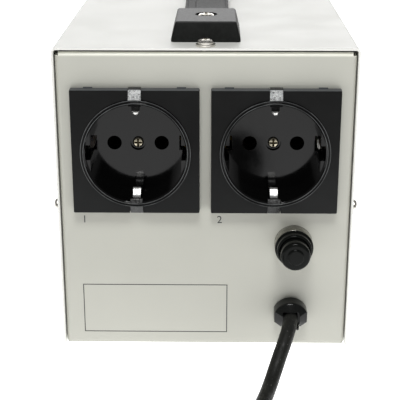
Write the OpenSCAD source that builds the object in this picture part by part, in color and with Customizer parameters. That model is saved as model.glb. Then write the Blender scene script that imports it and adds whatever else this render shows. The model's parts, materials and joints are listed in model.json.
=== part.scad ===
// Mains voltage stabilizer in a folded steel case. Two earthed outlets, a reset breaker
// and the supply lead are behind, a display and the switches in front, a strap handle on top.
// Axes: +Z up, the outlets face -Y, the control panel faces +Y. Sizes are in millimetres.
// The origin lies on the surface that the feet stand on, under the middle of the object.

/* [Case] */
// Width over the cover's sides
case_w = 117.8; // [116:0.2:150]
// Height from the tray's underside to the top of the cover
case_h = 125; // [121:1:170]
// Depth between the edges of the cover
case_d = 191; // [180:1:260]
// Thickness of the sheet steel
sheet_t = 0.8; // [0.6:0.1:1.2]
// Outside radius of the bends
bend_r = 1.8; // [1.4:0.1:2.6]
// Gap between the cover and the tray
cover_gap = 0.4; // [0.3:0.05:0.8]
// How far the panels sit inside the cover's edges
panel_inset = 0.5; // [0.2:0.1:2]
// How far the cover's sides hang below the tray
cover_drop = 0.6; // [0:0.2:2]
// Width of the flanges round each panel
flange_w = 14; // [13:0.5:18]
// Height of the tray's side lips
side_lip = 9; // [6:0.5:14]
// Width of a vent slot
vent_w = 3; // [2:0.5:4]
// Length of a vent slot
vent_l = 26; // [16:1:36]
// Number of vent slots on each side
vent_count = 13; // [5:1:15]
// Distance from one vent slot to the next
vent_pitch = 8; // [6:0.5:9]

/* [Cover screws] */
// Diameter of a cover screw's washer
washer_d = 7.6; // [7:0.1:9]
// Thickness of that washer
washer_t = 0.8; // [0.5:0.1:1.2]
// Diameter of a cover screw's head
cover_head_d = 6.2; // [5.4:0.1:6.8]
// Height of a cover screw's head
cover_head_h = 2; // [1.4:0.1:2.6]
// Diameter of the screws' shanks
shank_d = 3.8; // [3:0.1:4]
// Height of the side screws over the tray's underside
side_screw_z = 58; // [40:1:70]
// Distance of the side screws from the cover's edge
side_screw_in = 10; // [8:0.5:11]
// Distance of the top screws from the cover's edge
top_screw_in = 5; // [4.6:0.2:8]

/* [Feet] */
// Height of a foot
foot_h = 5; // [4:0.5:12]
// Diameter of a foot at the tray
foot_d = 15; // [13:0.5:20]
// Diameter of a foot at the floor
foot_low_d = 13; // [11:0.5:13]
// Distance of the feet from the panels
foot_in_y = 24; // [18:1:40]
// Distance of the feet from the tray's sides
foot_in_x = 13; // [12:1:22]

/* [Handle] */
// Distance of a cap from the cover's edge
cap_in = 11.5; // [11:0.5:24]
// Length of a cap
cap_l = 34; // [30:0.5:44]
// Width of a cap at its foot
cap_w = 27.2; // [26:0.2:34]
// Height of a cap
cap_h = 7.8; // [7.6:0.1:12]
// How far a cap's faces lean in
cap_lean = 1.5; // [0.5:0.1:2.5]
// Wall at the top of a cap
cap_top = 1.3; // [1:0.1:1.8]
// Distance from a cap's outer face to its screw
cap_screw_in = 18.5; // [14:0.5:19]
// Width of the strap
strap_w = 18.4; // [16:0.2:20]
// Thickness of the strap
strap_t = 2.4; // [1.6:0.1:2.8]
// Rise of the strap's middle above its ends
strap_rise = 2.5; // [1:0.5:8]

/* [Outlets] */
// Distance between the outlets' centres
outlet_pitch = 54.4; // [51:0.2:58]
// Height of the outlets' centres over the tray's underside
outlet_z = 84; // [82:0.5:86]
// Side of an outlet's plate
plate_w = 50; // [48:0.2:50.6]
// Thickness of that plate
plate_t = 3.6; // [3.5:0.1:6]
// Diameter of the plug recess
recess_d = 39.5; // [38.5:0.1:40]
// Depth of the plug recess
recess_depth = 15.5; // [13:0.5:18]
// Distance between the two pin holes
pin_pitch = 19; // [18:0.1:20]
// Diameter of a pin hole
pin_hole_d = 5.8; // [5:0.1:6]
// Width between the flats of the plug recess
recess_flats = 35.6; // [34:0.1:37]
// Height of the channel in each flat
channel_w = 6.1; // [4:0.1:8]
// Wall of the recess
cup_wall = 1.2; // [1:0.1:1.3]
// Floor of the recess
cup_floor = 2.5; // [2:0.1:3.5]
// Depth of the contact carrier behind the recess
carrier_h = 12; // [10:0.5:20]
// Width of the earth strip where it shows
earth_w = 4.9; // [4:0.1:6]
// Width of the earth strip inside the recess
earth_in_w = 3; // [2:0.1:3.6]
// Thickness of the earth strip
earth_t = 0.6; // [0.4:0.05:0.8]

/* [Breaker] */
// Distance of the breaker from the panel's edge
breaker_in = 22.2; // [20:0.2:25]
// Height of the breaker over the tray's underside
breaker_z = 45.6; // [43:0.2:47]
// Diameter of the breaker's ring
ring_d = 15.4; // [14.8:0.1:17]
// Height of that ring
ring_h = 5.6; // [4:0.1:6]
// Diameter of the reset button
button_d = 11.7; // [11:0.1:12]
// How far the button stands out from the panel
button_reach = 15; // [13:0.5:18]

/* [Supply lead] */
// Diameter of the lead
cord_d = 5.9; // [5.6:0.1:5.9]
// Width of the strain relief
relief_w = 13.4; // [13:0.1:16]
// Height of the strain relief
relief_h = 12.4; // [12:0.1:13]
// How far the strain relief stands out
relief_reach = 9.5; // [9:0.5:12]
// Distance of the strain relief from the panel's edge
relief_in = 22.7; // [20:0.5:25]
// Height of the strain relief over the tray's underside
relief_z = 15.4; // [14.4:0.2:16.4]
// Number of turns in the put away coil
coil_turns = 5; // [3:1:6]
// Diameter of the plug's face
plug_d = 37; // [36:0.5:40]
// Length of the plug's body with its strain relief
plug_l = 62; // [56:1:75]
// Diameter of a plug pin
pin_d = 4.8; // [4:0.1:4.8]
// Length of a plug pin
pin_l = 19; // [17:0.5:20]

/* [Control panel] */
// Width of the display's window
window_w = 52; // [40:1:56]
// Height of the display's window
window_h = 26; // [20:1:28]
// Height of the display's centre over the tray's underside
window_z = 86; // [80:1:90]
// Height of the lamps over the tray's underside
lamp_z = 53; // [50:1:54]
// Distance between lamps
lamp_pitch = 24; // [14:1:26]
// Diameter of a lamp
lamp_d = 5; // [4:0.5:6]
// Half the height of the rocker
rocker_half = 10.6; // [9:0.1:11]
// Width of the rocker
rocker_w = 20; // [16:0.5:22]
// Tilt of the rocker each way
rocker_tilt = 10; // [7:0.5:12]
// How far the rocker's raised edge stands out
control_reach = 5; // [4.6:0.1:6]
// Height of the switches over the tray's underside
switch_z = 25; // [22:0.5:26]
// Distance of the switches from the panel's edge
switch_in = 29.7; // [27:0.5:34]
// Diameter of the delay button
delay_d = 11; // [9:0.5:12]

/* [Transformer] */
// Width of the laminated core
core_w = 96; // [84:1:100]
// Height of the core
core_h = 80; // [70:1:84]
// Stack of the core
core_t = 42; // [30:1:50]
// How far the winding stands out of the core
coil_out = 13; // [8:0.5:15]
// Place of the transformer's centre along the case
core_y = 28; // [22:1:32]

/* [Relay board] */
// Width of the board
board_w = 62; // [60:1:70]
// Depth of the board
board_d = 54; // [50:1:56]
// Height of the board over the tray's floor
board_lift = 6; // [5:0.5:8]
// Height of a relay
relay_h = 15.5; // [12:0.5:18]
// Diameter of a capacitor
cap_can_d = 10; // [8:0.5:12]

/* [Hidden] */
$fn = 48;
hull_fn = 24;

// Shared values
over = 1;
clear = 0.3;
snug = 0.05;
sides = [-1, 1];

// The case
tray_z = foot_h;
panel_w = case_w - 2 * (sheet_t + cover_gap);
top_gap = 2 * cover_gap;
tray_h = case_h - sheet_t - top_gap;
breaker_x = panel_w / 2 - breaker_in;
relief_x = panel_w / 2 - relief_in;
switch_x = panel_w / 2 - switch_in;
tray_d = case_d - 2 * panel_inset;
rear_y = (button_reach - control_reach - tray_d) / 2;
front_y = rear_y + tray_d;
mid_y = (rear_y + front_y) / 2;
cover_rear = rear_y - panel_inset;
cover_front = front_y + panel_inset;
top_z = tray_z + case_h;
floor_z = tray_z + sheet_t;
notch_w = 1.5;
notch_h = 1.4;
vent_z = tray_z + side_lip + 0.6 * vent_l + 3 * vent_w;
shank_hole_d = shank_d + 2 * snug;
cover_hole_d = shank_d + 2 * clear;
cover_shank_l = 7;

// Machine screws and nuts
m4_d = 4;
m4_hole_d = m4_d + 2 * clear;
m4_head_d = 6.8;
m4_head_h = 2.2;
nut_flats = 7;
nut_h = 3.2;
m3_d = 3;
m3_head_d = 5.4;
m3_head_h = 1.8;

// The handle
cap_edge = 1;
cap_corner = 1.6;
cap_end_wall = 1.6;
cap_flange = 1;
post_d = 11.4;
head_hole_d = 8.8;
head_hole_h = 1.7;
strap_top = cap_h - cap_top - clear;
strap_low = strap_top - strap_t;
strap_slot_w = post_d + 2 * clear;
strap_slide = 4.8;
strap_end = cap_screw_in - strap_slot_w / 2 - strap_slide - 2.5;
strap_steps = 24;

// The outlets
plate_corner = 0.5;
plate_draft = 0.1;
plate_lift = 0.5;
rim_d = recess_d + 2 * 0.9;
rim_low_d = 43.2;
rim_h = 0.6;
rim_low_h = 0.3;
rim_seat = 1;
cup_d = recess_d + 2 * cup_wall;
cup_depth = recess_depth - plate_t;
cup_back = cup_depth + cup_floor;
flat_drop = 1.5;
channel_in = 1.2;
hook_w = 8;
hook_out = 1.4;
hook_l = 6;
nub_w = 3.6;
nub_x = 18;
nub_h = 0.4;
earth_x = 0.15;
earth_reach = plate_w / 2 + nub_h - earth_t / 2;
earth_line = recess_d / 2 - clear - earth_t / 2;
earth_bulge = 3.3;
earth_back = cup_back + carrier_h + clear + earth_t / 2;
carrier_d = 2 * (earth_line - earth_t / 2 - clear);
chamber_d = 7;
sleeve_d = 6.4;
sleeve_bore_d = 5;
sleeve_l = 8;
tab_w = 6.3;
tab_t = 0.8;
tab_l = 8;
screw_well_d = 6.2;
screw_well_h = 1.4;
outlet_head_d = 4.4;
outlet_head_h = 1.4;
outlet_shank_d = 2.9;

// The breaker
barrel_d = 12.4;
barrel_reach = 1.4;
breaker_case_d = 14.8;
breaker_case_l = 30;
stem_d = 7;
stem_back = 12;
button_back = 4.2;
button_dish = 0.8;
button_edge = 1.1;
collar_d = 14;
collar_h = 4;
ring_edge = 0.35;

// The strain relief and the lead
relief_neck_w = 10;
relief_neck_h = 8;
relief_neck_l = 8;
relief_lip = 0.9;
relief_arc_r = 9;
relief_low = 2.4;
relief_low_w = 7.8;
relief_chamfer = 2.2;
relief_edge = 0.4;
relief_steps = 12;
relief_mouth_w = 7;
relief_mouth_up = 3.4;
relief_mouth_back = 4;
cord_r = cord_d / 2;
cord_sides = 10;
// The lead's steps from the strain relief: sideways, and outwards
lead_steps = [
    [0, 0], [-0.1, 2.6], [-0.5, 5.4], [-1.1, 8.3], [-1.9, 11.2], [-2.9, 14], [-4, 16.5],
    [-5.2, 18.8], [-6.4, 21.3], [-7.6, 24.1], [-8.7, 27.1], [-9.8, 30.4], [-10.8, 33.8],
    [-11.8, 37.3], [-14.4, 47], [-16.8, 57], [-18.7, 67], [-20, 77], [-20.7, 87], [-21, 95], [-21, 100]
];
// How much of the height over the floor each step has, and of the rise into the coil
lead_shares = [
    [1, 0], [0.99, 0], [0.965, 0], [0.92, 0], [0.845, 0], [0.75, 0], [0.63, 0],
    [0.5, 0], [0.355, 0], [0.23, 0], [0.125, 0], [0.055, 0], [0.015, 0],
    [0, 0], [0, 0], [0, 0], [0, 0.15], [0, 0.4], [0, 0.85], [0, 1], [0, 1]
];
lead_start = [relief_x, rear_y - relief_mouth_back, tray_z + relief_z];
lead_low = cord_r + 0.1;
// The tie round the coil
tie_w = 6;
tie_t = 0.5;
tie_gap = 0.3;
// The coil's levels and its outermost centre line
coil_low = cord_r + tie_t + tie_gap;
coil_r = 40;
coil_step = 6.4;
coil_rise = 6.4;
coil_rings = 24;
coil_sides = 6;
lead_route = [
    for (i = [0:len(lead_steps) - 1]) [
        lead_start[0] + lead_steps[i][0], lead_start[1] - lead_steps[i][1],
        lead_low + lead_shares[i][0] * (lead_start[2] - lead_low) + lead_shares[i][1] * (coil_low - lead_low)
    ]
];
coil_x = lead_start[0] + lead_steps[20][0] - coil_r;
coil_y = lead_start[1] - lead_steps[20][1] - cord_d;
coil_half = coil_turns / 2;
tail_l = 12;

// The plug
plug_face_l = 10;
plug_grip_d = 20;
plug_grip_l = 20;
plug_neck_d = 11;
plug_end_d = 8.4;
plug_neck_l = 24;
plug_groove_w = 5.6;
plug_groove_d = 2.6;
plug_clip_w = 5;
plug_clip_t = 0.8;
plug_clip_in = 3;
plug_end = [coil_x + coil_r, coil_y - cord_d - tail_l, coil_low + coil_rise];
plug_seat = plug_l - plug_face_l;
plug_tilt = acos((plug_end[2] - snug) / norm([plug_d / 2, plug_seat])) - atan2(plug_seat, plug_d / 2);

// The control panel
bezel_rim = 5;
bezel_t = 2.2;
bezel_lip = 1.6;
bezel_back = 9;
bezel_corner = 3;
window_t = 1.5;
window_set = 0.7;
front_board_t = 1.6;
front_board_w = window_w + 2 * bezel_rim;
front_board_y = bezel_back;
front_board_top = window_z + window_h / 2 + 3;
module_d = front_board_y - window_set - window_t - 2 * clear + bezel_t;
lamp_reach = 2.4;
lamp_flange_d = lamp_d + 1;
lamp_flange_h = 1;
front_board_low = lamp_z - lamp_d - lamp_flange_h;
rocker_pivot_in = 3;
rocker_skirt = 5;
rocker_pin_d = 3;
rocker_pin_l = 1.2;
rocker_side_gap = 0.4;
rocker_end_gap = 1.3;
housing_wall = 1.6;
housing_rim = 1.8;
housing_rim_t = 1.8;
housing_l = 22;
rocker_pivot_z = control_reach - 2 * rocker_half * sin(rocker_tilt) - rocker_pivot_in * cos(rocker_tilt);
housing_w = rocker_w + 2 * (rocker_side_gap + housing_wall);
housing_h = 2 * (rocker_half + rocker_end_gap + housing_wall);
delay_reach = 4;
delay_barrel_d = delay_d + 3;
delay_flange_d = delay_barrel_d + 4;
delay_flange_h = 1.6;
delay_barrel_l = 16;
delay_stem = 7;
delay_nut_h = 3;

// The transformer
leg_w = core_w / 3;
slot_w = leg_w / 2;
slot_h = core_h - leg_w;
core_z = floor_z + 3;
core_corner = 5;
bobbin_t = 1.2;
foot_t = 1.5;
foot_out = 12;
bolt_d = 4;

// The relay board
board_t = 1.6;
board_back = 27;
board_x = -20;
board_y = rear_y + board_back + board_d / 2;
board_z = floor_z + board_lift;
pillar_d = 6;
board_hole_in = 4;
relay_gap = 1;
relay_w = (board_w - 4 * board_hole_in) / 3 - relay_gap;
relay_l = 19;
can_h = 16;
block_l = 30;
block_d = 8;
block_h = 11;

// A rectangle with round corners, centred
module round_rect(w, h, r) {
    square([w - 2 * r, h], center = true);
    square([w, h - 2 * r], center = true);
    for (x = sides, y = sides)
        translate([x * (w / 2 - r), y * (h / 2 - r)])
            circle(r);
}

// A box on z = 0 with all its edges rounded
module soft_block(w, d, h, r) {
    intersection() {
        linear_extrude(h)
            round_rect(w, d, r);
        translate([0, d / 2, h / 2])
            rotate([90, 0, 0])
                linear_extrude(d)
                    round_rect(w, h, r);
        translate([-w / 2, 0, h / 2])
            rotate([90, 0, 90])
                linear_extrude(w)
                    round_rect(d, h, r);
    }
}

// Places whose local z points out of the rear or the front panel, with y up
module on_rear(x, z) {
    translate([x, rear_y, tray_z + z])
        rotate([90, 0, 0])
            children();
}

module on_front(x, z) {
    translate([x, front_y, tray_z + z])
        rotate([90, 0, 180])
            children();
}

// A ribbon of sheet along a path of places, as an outline
function unit(v) = v / norm(v);
function turned(v) = [-v[1], v[0]];
function side_at(p, i) = let(
        n = len(p),
        a = turned(unit(p[min(i + 1, n - 1)] - p[min(i, n - 2)])),
        b = turned(unit(p[max(i, 1)] - p[max(i - 1, 0)])),
        m = unit(a + b)
    ) m / (m * a);
function ribbon(p, t) = concat(
    [for (i = [0:len(p) - 1]) p[i] + side_at(p, i) * t / 2],
    [for (i = [len(p) - 1:-1:0]) p[i] - side_at(p, i) * t / 2]
);

// A screw whose head stands on z = 0, with a cross recess
module pan_screw(head_d, head_h, shank, length) {
    bit_w = 0.16 * head_d;
    difference() {
        rotate_extrude()
            polygon([
                [0, -length], [0.4 * shank, -length], [shank / 2, 0.1 * shank - length],
                [shank / 2, 0], [head_d / 2, 0], [head_d / 2, 0.35 * head_h],
                [0.46 * head_d, 0.62 * head_h], [0.37 * head_d, 0.84 * head_h],
                [0.22 * head_d, 0.96 * head_h], [0, head_h]
            ]);
        for (a = [0, 90])
            rotate(a)
                translate([-0.28 * head_d, -bit_w / 2, 0.4 * head_h])
                    cube([0.56 * head_d, bit_w, head_h]);
    }
}

module washer(d, hole, t) {
    difference() {
        cylinder(d = d, h = t);
        translate([0, 0, -t])
            cylinder(d = hole, h = 3 * t);
    }
}

module nut() {
    difference() {
        cylinder(d = nut_flats / cos(30), h = nut_h, $fn = 6);
        translate([0, 0, -nut_h])
            cylinder(d = m4_d + 2 * snug, h = 3 * nut_h);
    }
}

// The places of the cover's screws, with local z pointing out of the cover
module at_side_screws(out) {
    for (s = sides, y = [cover_rear + side_screw_in, cover_front - side_screw_in])
        translate([s * (case_w / 2 + out), y, tray_z + side_screw_z])
            rotate([0, s * 90, 0])
                children();
}

module at_top_screws(out) {
    for (y = [cover_rear + top_screw_in, cover_front - top_screw_in])
        translate([0, y, top_z + out])
            children();
}

module at_feet(z) {
    for (s = sides, y = [rear_y + foot_in_y, front_y - foot_in_y])
        translate([s * (panel_w / 2 - foot_in_x), y, z])
            children();
}

module at_caps() {
    translate([0, cover_rear + cap_in, top_z])
        children();
    translate([0, cover_front - cap_in, top_z])
        rotate(180)
            children();
}

module at_outlets() {
    for (s = sides)
        on_rear(s * outlet_pitch / 2, outlet_z)
            children();
}

module at_board_holes(z) {
    for (sx = sides, sy = sides)
        translate([board_x + sx * (board_w / 2 - board_hole_in),
            board_y + sy * (board_d / 2 - board_hole_in), z])
            children();
}

module at_core_feet(z) {
    for (sx = sides, sy = sides)
        translate([sx * (core_w / 2 - leg_w / 4), core_y + sy * (core_t / 2 + foot_out / 2 + foot_t / 2), z])
            children();
}

// Tray: a floor with side lips between two panels with flanges all round
module tray_sheet(y, depth) {
    color([0.76, 0.76, 0.72])
        intersection() {
            difference() {
                translate([0, mid_y, tray_z])
                    soft_block(panel_w, tray_d, tray_h, bend_r);
                translate([0, mid_y, floor_z])
                    soft_block(panel_w - 2 * sheet_t, tray_d - 2 * sheet_t, tray_h - 2 * sheet_t, bend_r - sheet_t);
                for (s = sides, y = [rear_y - over, front_y - flange_w - over])
                    translate([s * panel_w / 2 - notch_w, y, tray_z + tray_h - notch_h])
                        cube([2 * notch_w, flange_w + 2 * over, 2 * notch_h]);
                at_side_screws(-case_w / 4)
                    cylinder(d = shank_hole_d, h = case_w / 4);
                at_top_screws(-cover_shank_l)
                    cylinder(d = shank_hole_d, h = cover_shank_l);
            }
            translate([-panel_w, y, tray_z - over])
                cube([2 * panel_w, depth, tray_h + 2 * over]);
        }
}

module rear_panel() {
    difference() {
        tray_sheet(rear_y - over, flange_w + over);
        rear_holes();
    }
}

module front_panel() {
    difference() {
        tray_sheet(front_y - flange_w, flange_w + over);
        front_holes();
    }
}

module chassis_floor() {
    difference() {
        tray_sheet(rear_y + flange_w, tray_d - 2 * flange_w);
        translate([-panel_w, rear_y, tray_z + side_lip])
            cube([2 * panel_w, tray_d, tray_h]);
        at_feet(tray_z - over)
            cylinder(d = m4_hole_d, h = sheet_t + 2 * over);
        at_core_feet(tray_z - over)
            cylinder(d = m4_hole_d, h = sheet_t + 2 * over);
        at_board_holes(tray_z - over)
            cylinder(d = m3_d + 2 * snug, h = sheet_t + 2 * over);
    }
}

module rear_holes() {
    at_outlets()
        translate([0, 0, -sheet_t - over])
            cylinder(d = cup_d + 2 * clear, h = sheet_t + 2 * over);
    on_rear(breaker_x, breaker_z)
        translate([0, 0, -sheet_t - over])
            cylinder(d = barrel_d + 2 * clear, h = sheet_t + 2 * over);
    on_rear(relief_x, relief_z)
        translate([-relief_neck_w / 2 - clear, -relief_neck_h / 2 - clear, -sheet_t - over])
            cube([relief_neck_w + 2 * clear, relief_neck_h + 2 * clear, sheet_t + 2 * over]);
}

module front_holes() {
    on_front(0, window_z)
        translate([0, 0, -sheet_t - over])
            linear_extrude(sheet_t + 2 * over)
                round_rect(window_w + 2 * (bezel_lip + clear), window_h + 2 * (bezel_lip + clear), bezel_lip);
    for (i = [-1:1])
        on_front(i * lamp_pitch, lamp_z)
            translate([0, 0, -sheet_t - over])
                cylinder(d = lamp_d + 2 * clear, h = sheet_t + 2 * over);
    on_front(-switch_x, switch_z)
        translate([-housing_w / 2 - clear, -housing_h / 2 - clear, -sheet_t - over])
            cube([housing_w + 2 * clear, housing_h + 2 * clear, sheet_t + 2 * over]);
    on_front(switch_x, switch_z)
        translate([0, 0, -sheet_t - over])
            cylinder(d = delay_barrel_d + 2 * clear, h = sheet_t + 2 * over);
}

// Cover: one folded sheet over the top and both sides
module top_cover() {
    cover_h = case_h + cover_drop;
    color([0.92, 0.92, 0.9])
        difference() {
            translate([0, cover_front, top_z - cover_h / 2])
                rotate([90, 0, 0])
                    linear_extrude(case_d)
                        round_rect(case_w, cover_h, bend_r);
            translate([0, cover_front + over, top_z - sheet_t - cover_h / 2 - over / 2])
                rotate([90, 0, 0])
                    linear_extrude(case_d + 2 * over)
                        difference() {
                            round_rect(case_w - 2 * sheet_t, cover_h + over, bend_r - sheet_t);
                        }
            translate([-case_w / 2 + sheet_t, cover_rear - over, top_z - cover_h - over])
                cube([case_w - 2 * sheet_t, case_d + 2 * over, cover_h / 2]);
            for (i = [0:vent_count - 1])
                translate([-case_w, mid_y + (i - (vent_count - 1) / 2) * vent_pitch, vent_z])
                    rotate([90, 0, 90])
                        linear_extrude(2 * case_w)
                            round_rect(vent_w, vent_l, 0.49 * vent_w);
            at_side_screws(-2 * sheet_t)
                cylinder(d = cover_hole_d, h = 4 * sheet_t);
            at_top_screws(-2 * sheet_t)
                cylinder(d = cover_hole_d, h = 4 * sheet_t);
            at_caps()
                translate([0, cap_screw_in, -2 * sheet_t])
                    cylinder(d = m4_hole_d, h = 4 * sheet_t);
        }
}

module cover_screws() {
    color([0.8, 0.8, 0.78]) {
        at_side_screws(washer_t)
            pan_screw(cover_head_d, cover_head_h, shank_d, cover_shank_l);
        at_top_screws(washer_t)
            pan_screw(cover_head_d, cover_head_h, shank_d, cover_shank_l);
    }
}

module cover_washers() {
    color([0.8, 0.8, 0.78]) {
        at_side_screws(0)
            washer(washer_d, cover_hole_d, washer_t);
        at_top_screws(0)
            washer(washer_d, cover_hole_d, washer_t);
    }
}

// Feet: turned rubber with a well for the screw's head
module rubber_feet() {
    well_d = m4_head_d + 2 * clear;
    color([0.1, 0.1, 0.1])
        at_feet(0)
            rotate_extrude()
                polygon([
                    [m4_hole_d / 2, foot_h / 2], [well_d / 2, foot_h / 2], [well_d / 2, 0],
                    [0.47 * foot_low_d, 0], [foot_low_d / 2, 0.03 * foot_low_d],
                    [foot_d / 2, foot_h], [m4_hole_d / 2, foot_h]
                ]);
}

module foot_screws() {
    color([0.8, 0.8, 0.78])
        at_feet(foot_h / 2)
            rotate([180, 0, 0])
                pan_screw(m4_head_d, 0.38 * foot_h, m4_d, foot_h / 2 + sheet_t + 1.2 * nut_h);
}

// Cap: leaning faces, a hollow for the strap's end and a post round the screw
module handle_cap() {
    ball = cap_edge;
    channel_w = strap_w + 2 * clear;
    difference() {
        hull() {
            translate([0, cap_l / 2, 0])
                linear_extrude(cap_flange)
                    round_rect(cap_w, cap_l, cap_corner, $fn = hull_fn);
            for (x = sides, y = [cap_lean + ball, cap_l - cap_lean / 2 - ball])
                translate([x * (cap_w / 2 - cap_lean - ball), y, cap_h - ball])
                    sphere(ball, $fn = hull_fn);
        }
        difference() {
            union() {
                translate([-channel_w / 2, cap_lean + cap_end_wall, -over])
                    cube([channel_w, cap_l - cap_lean - 2 * cap_end_wall, cap_h - cap_top + over]);
                translate([-channel_w / 2, cap_l / 2, strap_low - clear])
                    cube([channel_w, cap_l, strap_t + 2 * clear]);
            }
            translate([0, cap_screw_in, -2 * over])
                cylinder(d = post_d, h = cap_h + 2 * over);
        }
        translate([0, cap_screw_in, -over])
            cylinder(d = m4_hole_d, h = cap_h + 2 * over);
        translate([0, cap_screw_in, cap_h - head_hole_h])
            cylinder(d = head_hole_d, h = head_hole_h + over);
    }
}

module handle_cap_rear() {
    color([0.12, 0.12, 0.12])
        translate([0, cover_rear + cap_in, top_z])
            handle_cap();
}

module handle_cap_front() {
    color([0.12, 0.12, 0.12])
        translate([0, cover_front - cap_in, top_z])
            rotate(180)
                handle_cap();
}

module handle_screws() {
    color([0.8, 0.8, 0.78])
        at_caps()
            translate([0, cap_screw_in, cap_h - head_hole_h])
                pan_screw(m4_head_d, m4_head_h, m4_d, cap_h - head_hole_h + sheet_t + 1.2 * nut_h);
}

// Strap: flat ends that slide round the posts, and an arched middle
module handle_strap() {
    y0 = cover_rear + cap_in;
    y1 = cover_front - cap_in;
    span0 = y0 + cap_l;
    span1 = y1 - cap_l;
    path = concat(
        [[y0 + strap_end, 0]],
        [for (i = [0:strap_steps]) let(f = i / strap_steps)
            [span0 + f * (span1 - span0), strap_rise * (1 - cos(360 * f)) / 2]],
        [[y1 - strap_end, 0]]
    );
    color([0.5, 0.5, 0.48])
        difference() {
            translate([-strap_w / 2, 0, top_z + strap_low + strap_t / 2])
                rotate([90, 0, 90])
                    linear_extrude(strap_w)
                        polygon(ribbon(path, strap_t));
            for (s = [[y0, 1], [y1, -1]])
                translate([0, s[0] + s[1] * cap_screw_in, top_z])
                    linear_extrude(cap_h) {
                        circle(d = strap_slot_w);
                        translate([0, -s[1] * strap_slide])
                            circle(d = strap_slot_w);
                        translate([0, -s[1] * strap_slide / 2])
                            square([strap_slot_w, strap_slide], center = true);
                    }
        }
}

module hex_nuts() {
    color([0.8, 0.8, 0.78]) {
        at_caps()
            translate([0, cap_screw_in, -sheet_t - nut_h])
                nut();
        at_feet(floor_z)
            nut();
        at_core_feet(tray_z - nut_h)
            nut();
        at_bolt_ends(-1)
            nut();
    }
}

// Outlet plate: drafted faces, and a stepped hole that holds the cup's rim
module socket_plate() {
    difference() {
        translate([0, plate_lift, 0]) {
            hull() {
                linear_extrude(plate_t / 3)
                    round_rect(plate_w, plate_w, plate_corner, $fn = hull_fn);
                linear_extrude(plate_t)
                    round_rect(plate_w - 2 * plate_draft, plate_w - 2 * plate_draft, plate_corner, $fn = hull_fn);
            }
            for (x = sides)
                translate([x * nub_x - nub_w / 2, plate_w / 2 - nub_h, 0])
                    cube([nub_w, 2 * nub_h, plate_t / 4]);
        }
        translate([0, 0, -over])
            cylinder(d = cup_d + 2 * snug, h = plate_t + 2 * over);
        translate([0, 0, plate_t - rim_seat])
            cylinder(d = rim_low_d + 2 * snug, h = rim_seat + over);
        earth_gap();
    }
}

// Outlet cup: a stepped rim, the round recess for the plug, and hooks behind the panel
module socket_cup() {
    difference() {
        union() {
            translate([0, 0, -cup_back])
                cylinder(d = cup_d, h = cup_back + plate_t);
            translate([0, 0, plate_t - rim_seat])
                cylinder(d = rim_low_d, h = rim_seat + rim_low_h);
            cylinder(d = rim_d, h = plate_t + rim_h);
            for (s = sides)
                rotate(s < 0 ? 180 : 0)
                    translate([cup_d / 2 - cup_wall / 2, hook_w / 2, 0])
                        rotate([90, 0, 0])
                            linear_extrude(hook_w)
                                polygon([
                                    [0, -sheet_t - clear], [cup_wall / 2 + hook_out, -sheet_t - clear],
                                    [cup_wall / 2 + hook_out, -2 * sheet_t - clear], [0, -hook_l]
                                ]);
        }
        recess_space();
        for (s = sides)
            translate([s * pin_pitch / 2, 0, -cup_back - over])
                cylinder(d = pin_hole_d, h = cup_floor + 2 * over);
        translate([0, 0, -cup_back - over])
            cylinder(d = outlet_shank_d + 2 * clear, h = cup_floor + 2 * over);
        translate([0, 0, -cup_depth - screw_well_h])
            cylinder(d = screw_well_d, h = screw_well_h + over);
        for (s = sides)
            translate([-earth_in_w / 2 - clear, s < 0 ? -recess_d / 2 + 0.1 * earth_t : earth_line - earth_t / 2 - clear, -cup_back - over])
                cube([earth_in_w + 2 * clear, earth_t + 2 * clear - 0.1 * earth_t, cup_floor + 2 * over]);
        earth_gap();
    }
}

// The gap for the earth strip over the rim and the plate's edge
module earth_gap() {
    back = earth_reach - earth_t / 2 - snug;
    for (s = sides)
        translate([-earth_w / 2 - earth_x, 0, 0])
            rotate([90, 0, 90])
                linear_extrude(earth_w + 2 * earth_x)
                    polygon([
                        [s * (recess_d / 2 - over), plate_t - over], [s * (recess_d / 2 + over / 2), plate_t - over],
                        [s * back + plate_lift, plate_t - 2 * over - earth_x], [s * back + plate_lift, -over],
                        [s * (plate_w / 2 + over) + plate_lift, -over],
                        [s * (plate_w / 2 + over) + plate_lift, plate_t + over],
                        [s * (recess_d / 2 - over), plate_t + over]
                    ]);
}

// The hollow of the recess: round, with a flat and its channel on either side
module recess_space() {
    lead_in = 0.5;
    difference() {
        union() {
            translate([0, 0, -cup_depth])
                cylinder(d = recess_d, h = recess_depth + rim_h + over);
            translate([0, 0, plate_t + rim_h - lead_in])
                cylinder(d1 = recess_d, d2 = recess_d + 4 * lead_in, h = 2 * lead_in);
        }
        for (s = sides)
            translate([s < 0 ? -recess_d : recess_flats / 2, -recess_d / 2, -cup_depth - over])
                cube([recess_d - recess_flats / 2, recess_d, recess_depth - flat_drop + over]);
    }
    intersection() {
        translate([0, 0, -cup_back - over])
            cylinder(d = recess_d, h = cup_back + plate_t);
        for (s = sides)
            translate([s < 0 ? -recess_d : recess_flats / 2 - channel_in, -channel_w / 2, -cup_back - over])
                cube([recess_d - recess_flats / 2 + channel_in, channel_w, cup_back + plate_t]);
    }
}

module socket_plate_left() {
    color([0.13, 0.13, 0.13])
        on_rear(-outlet_pitch / 2, outlet_z)
            socket_plate();
}

module socket_plate_right() {
    color([0.13, 0.13, 0.13])
        on_rear(outlet_pitch / 2, outlet_z)
            socket_plate();
}

module socket_cup_left() {
    color([0.11, 0.11, 0.11])
        on_rear(-outlet_pitch / 2, outlet_z)
            socket_cup();
}

module socket_cup_right() {
    color([0.11, 0.11, 0.11])
        on_rear(outlet_pitch / 2, outlet_z)
            socket_cup();
}

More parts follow.
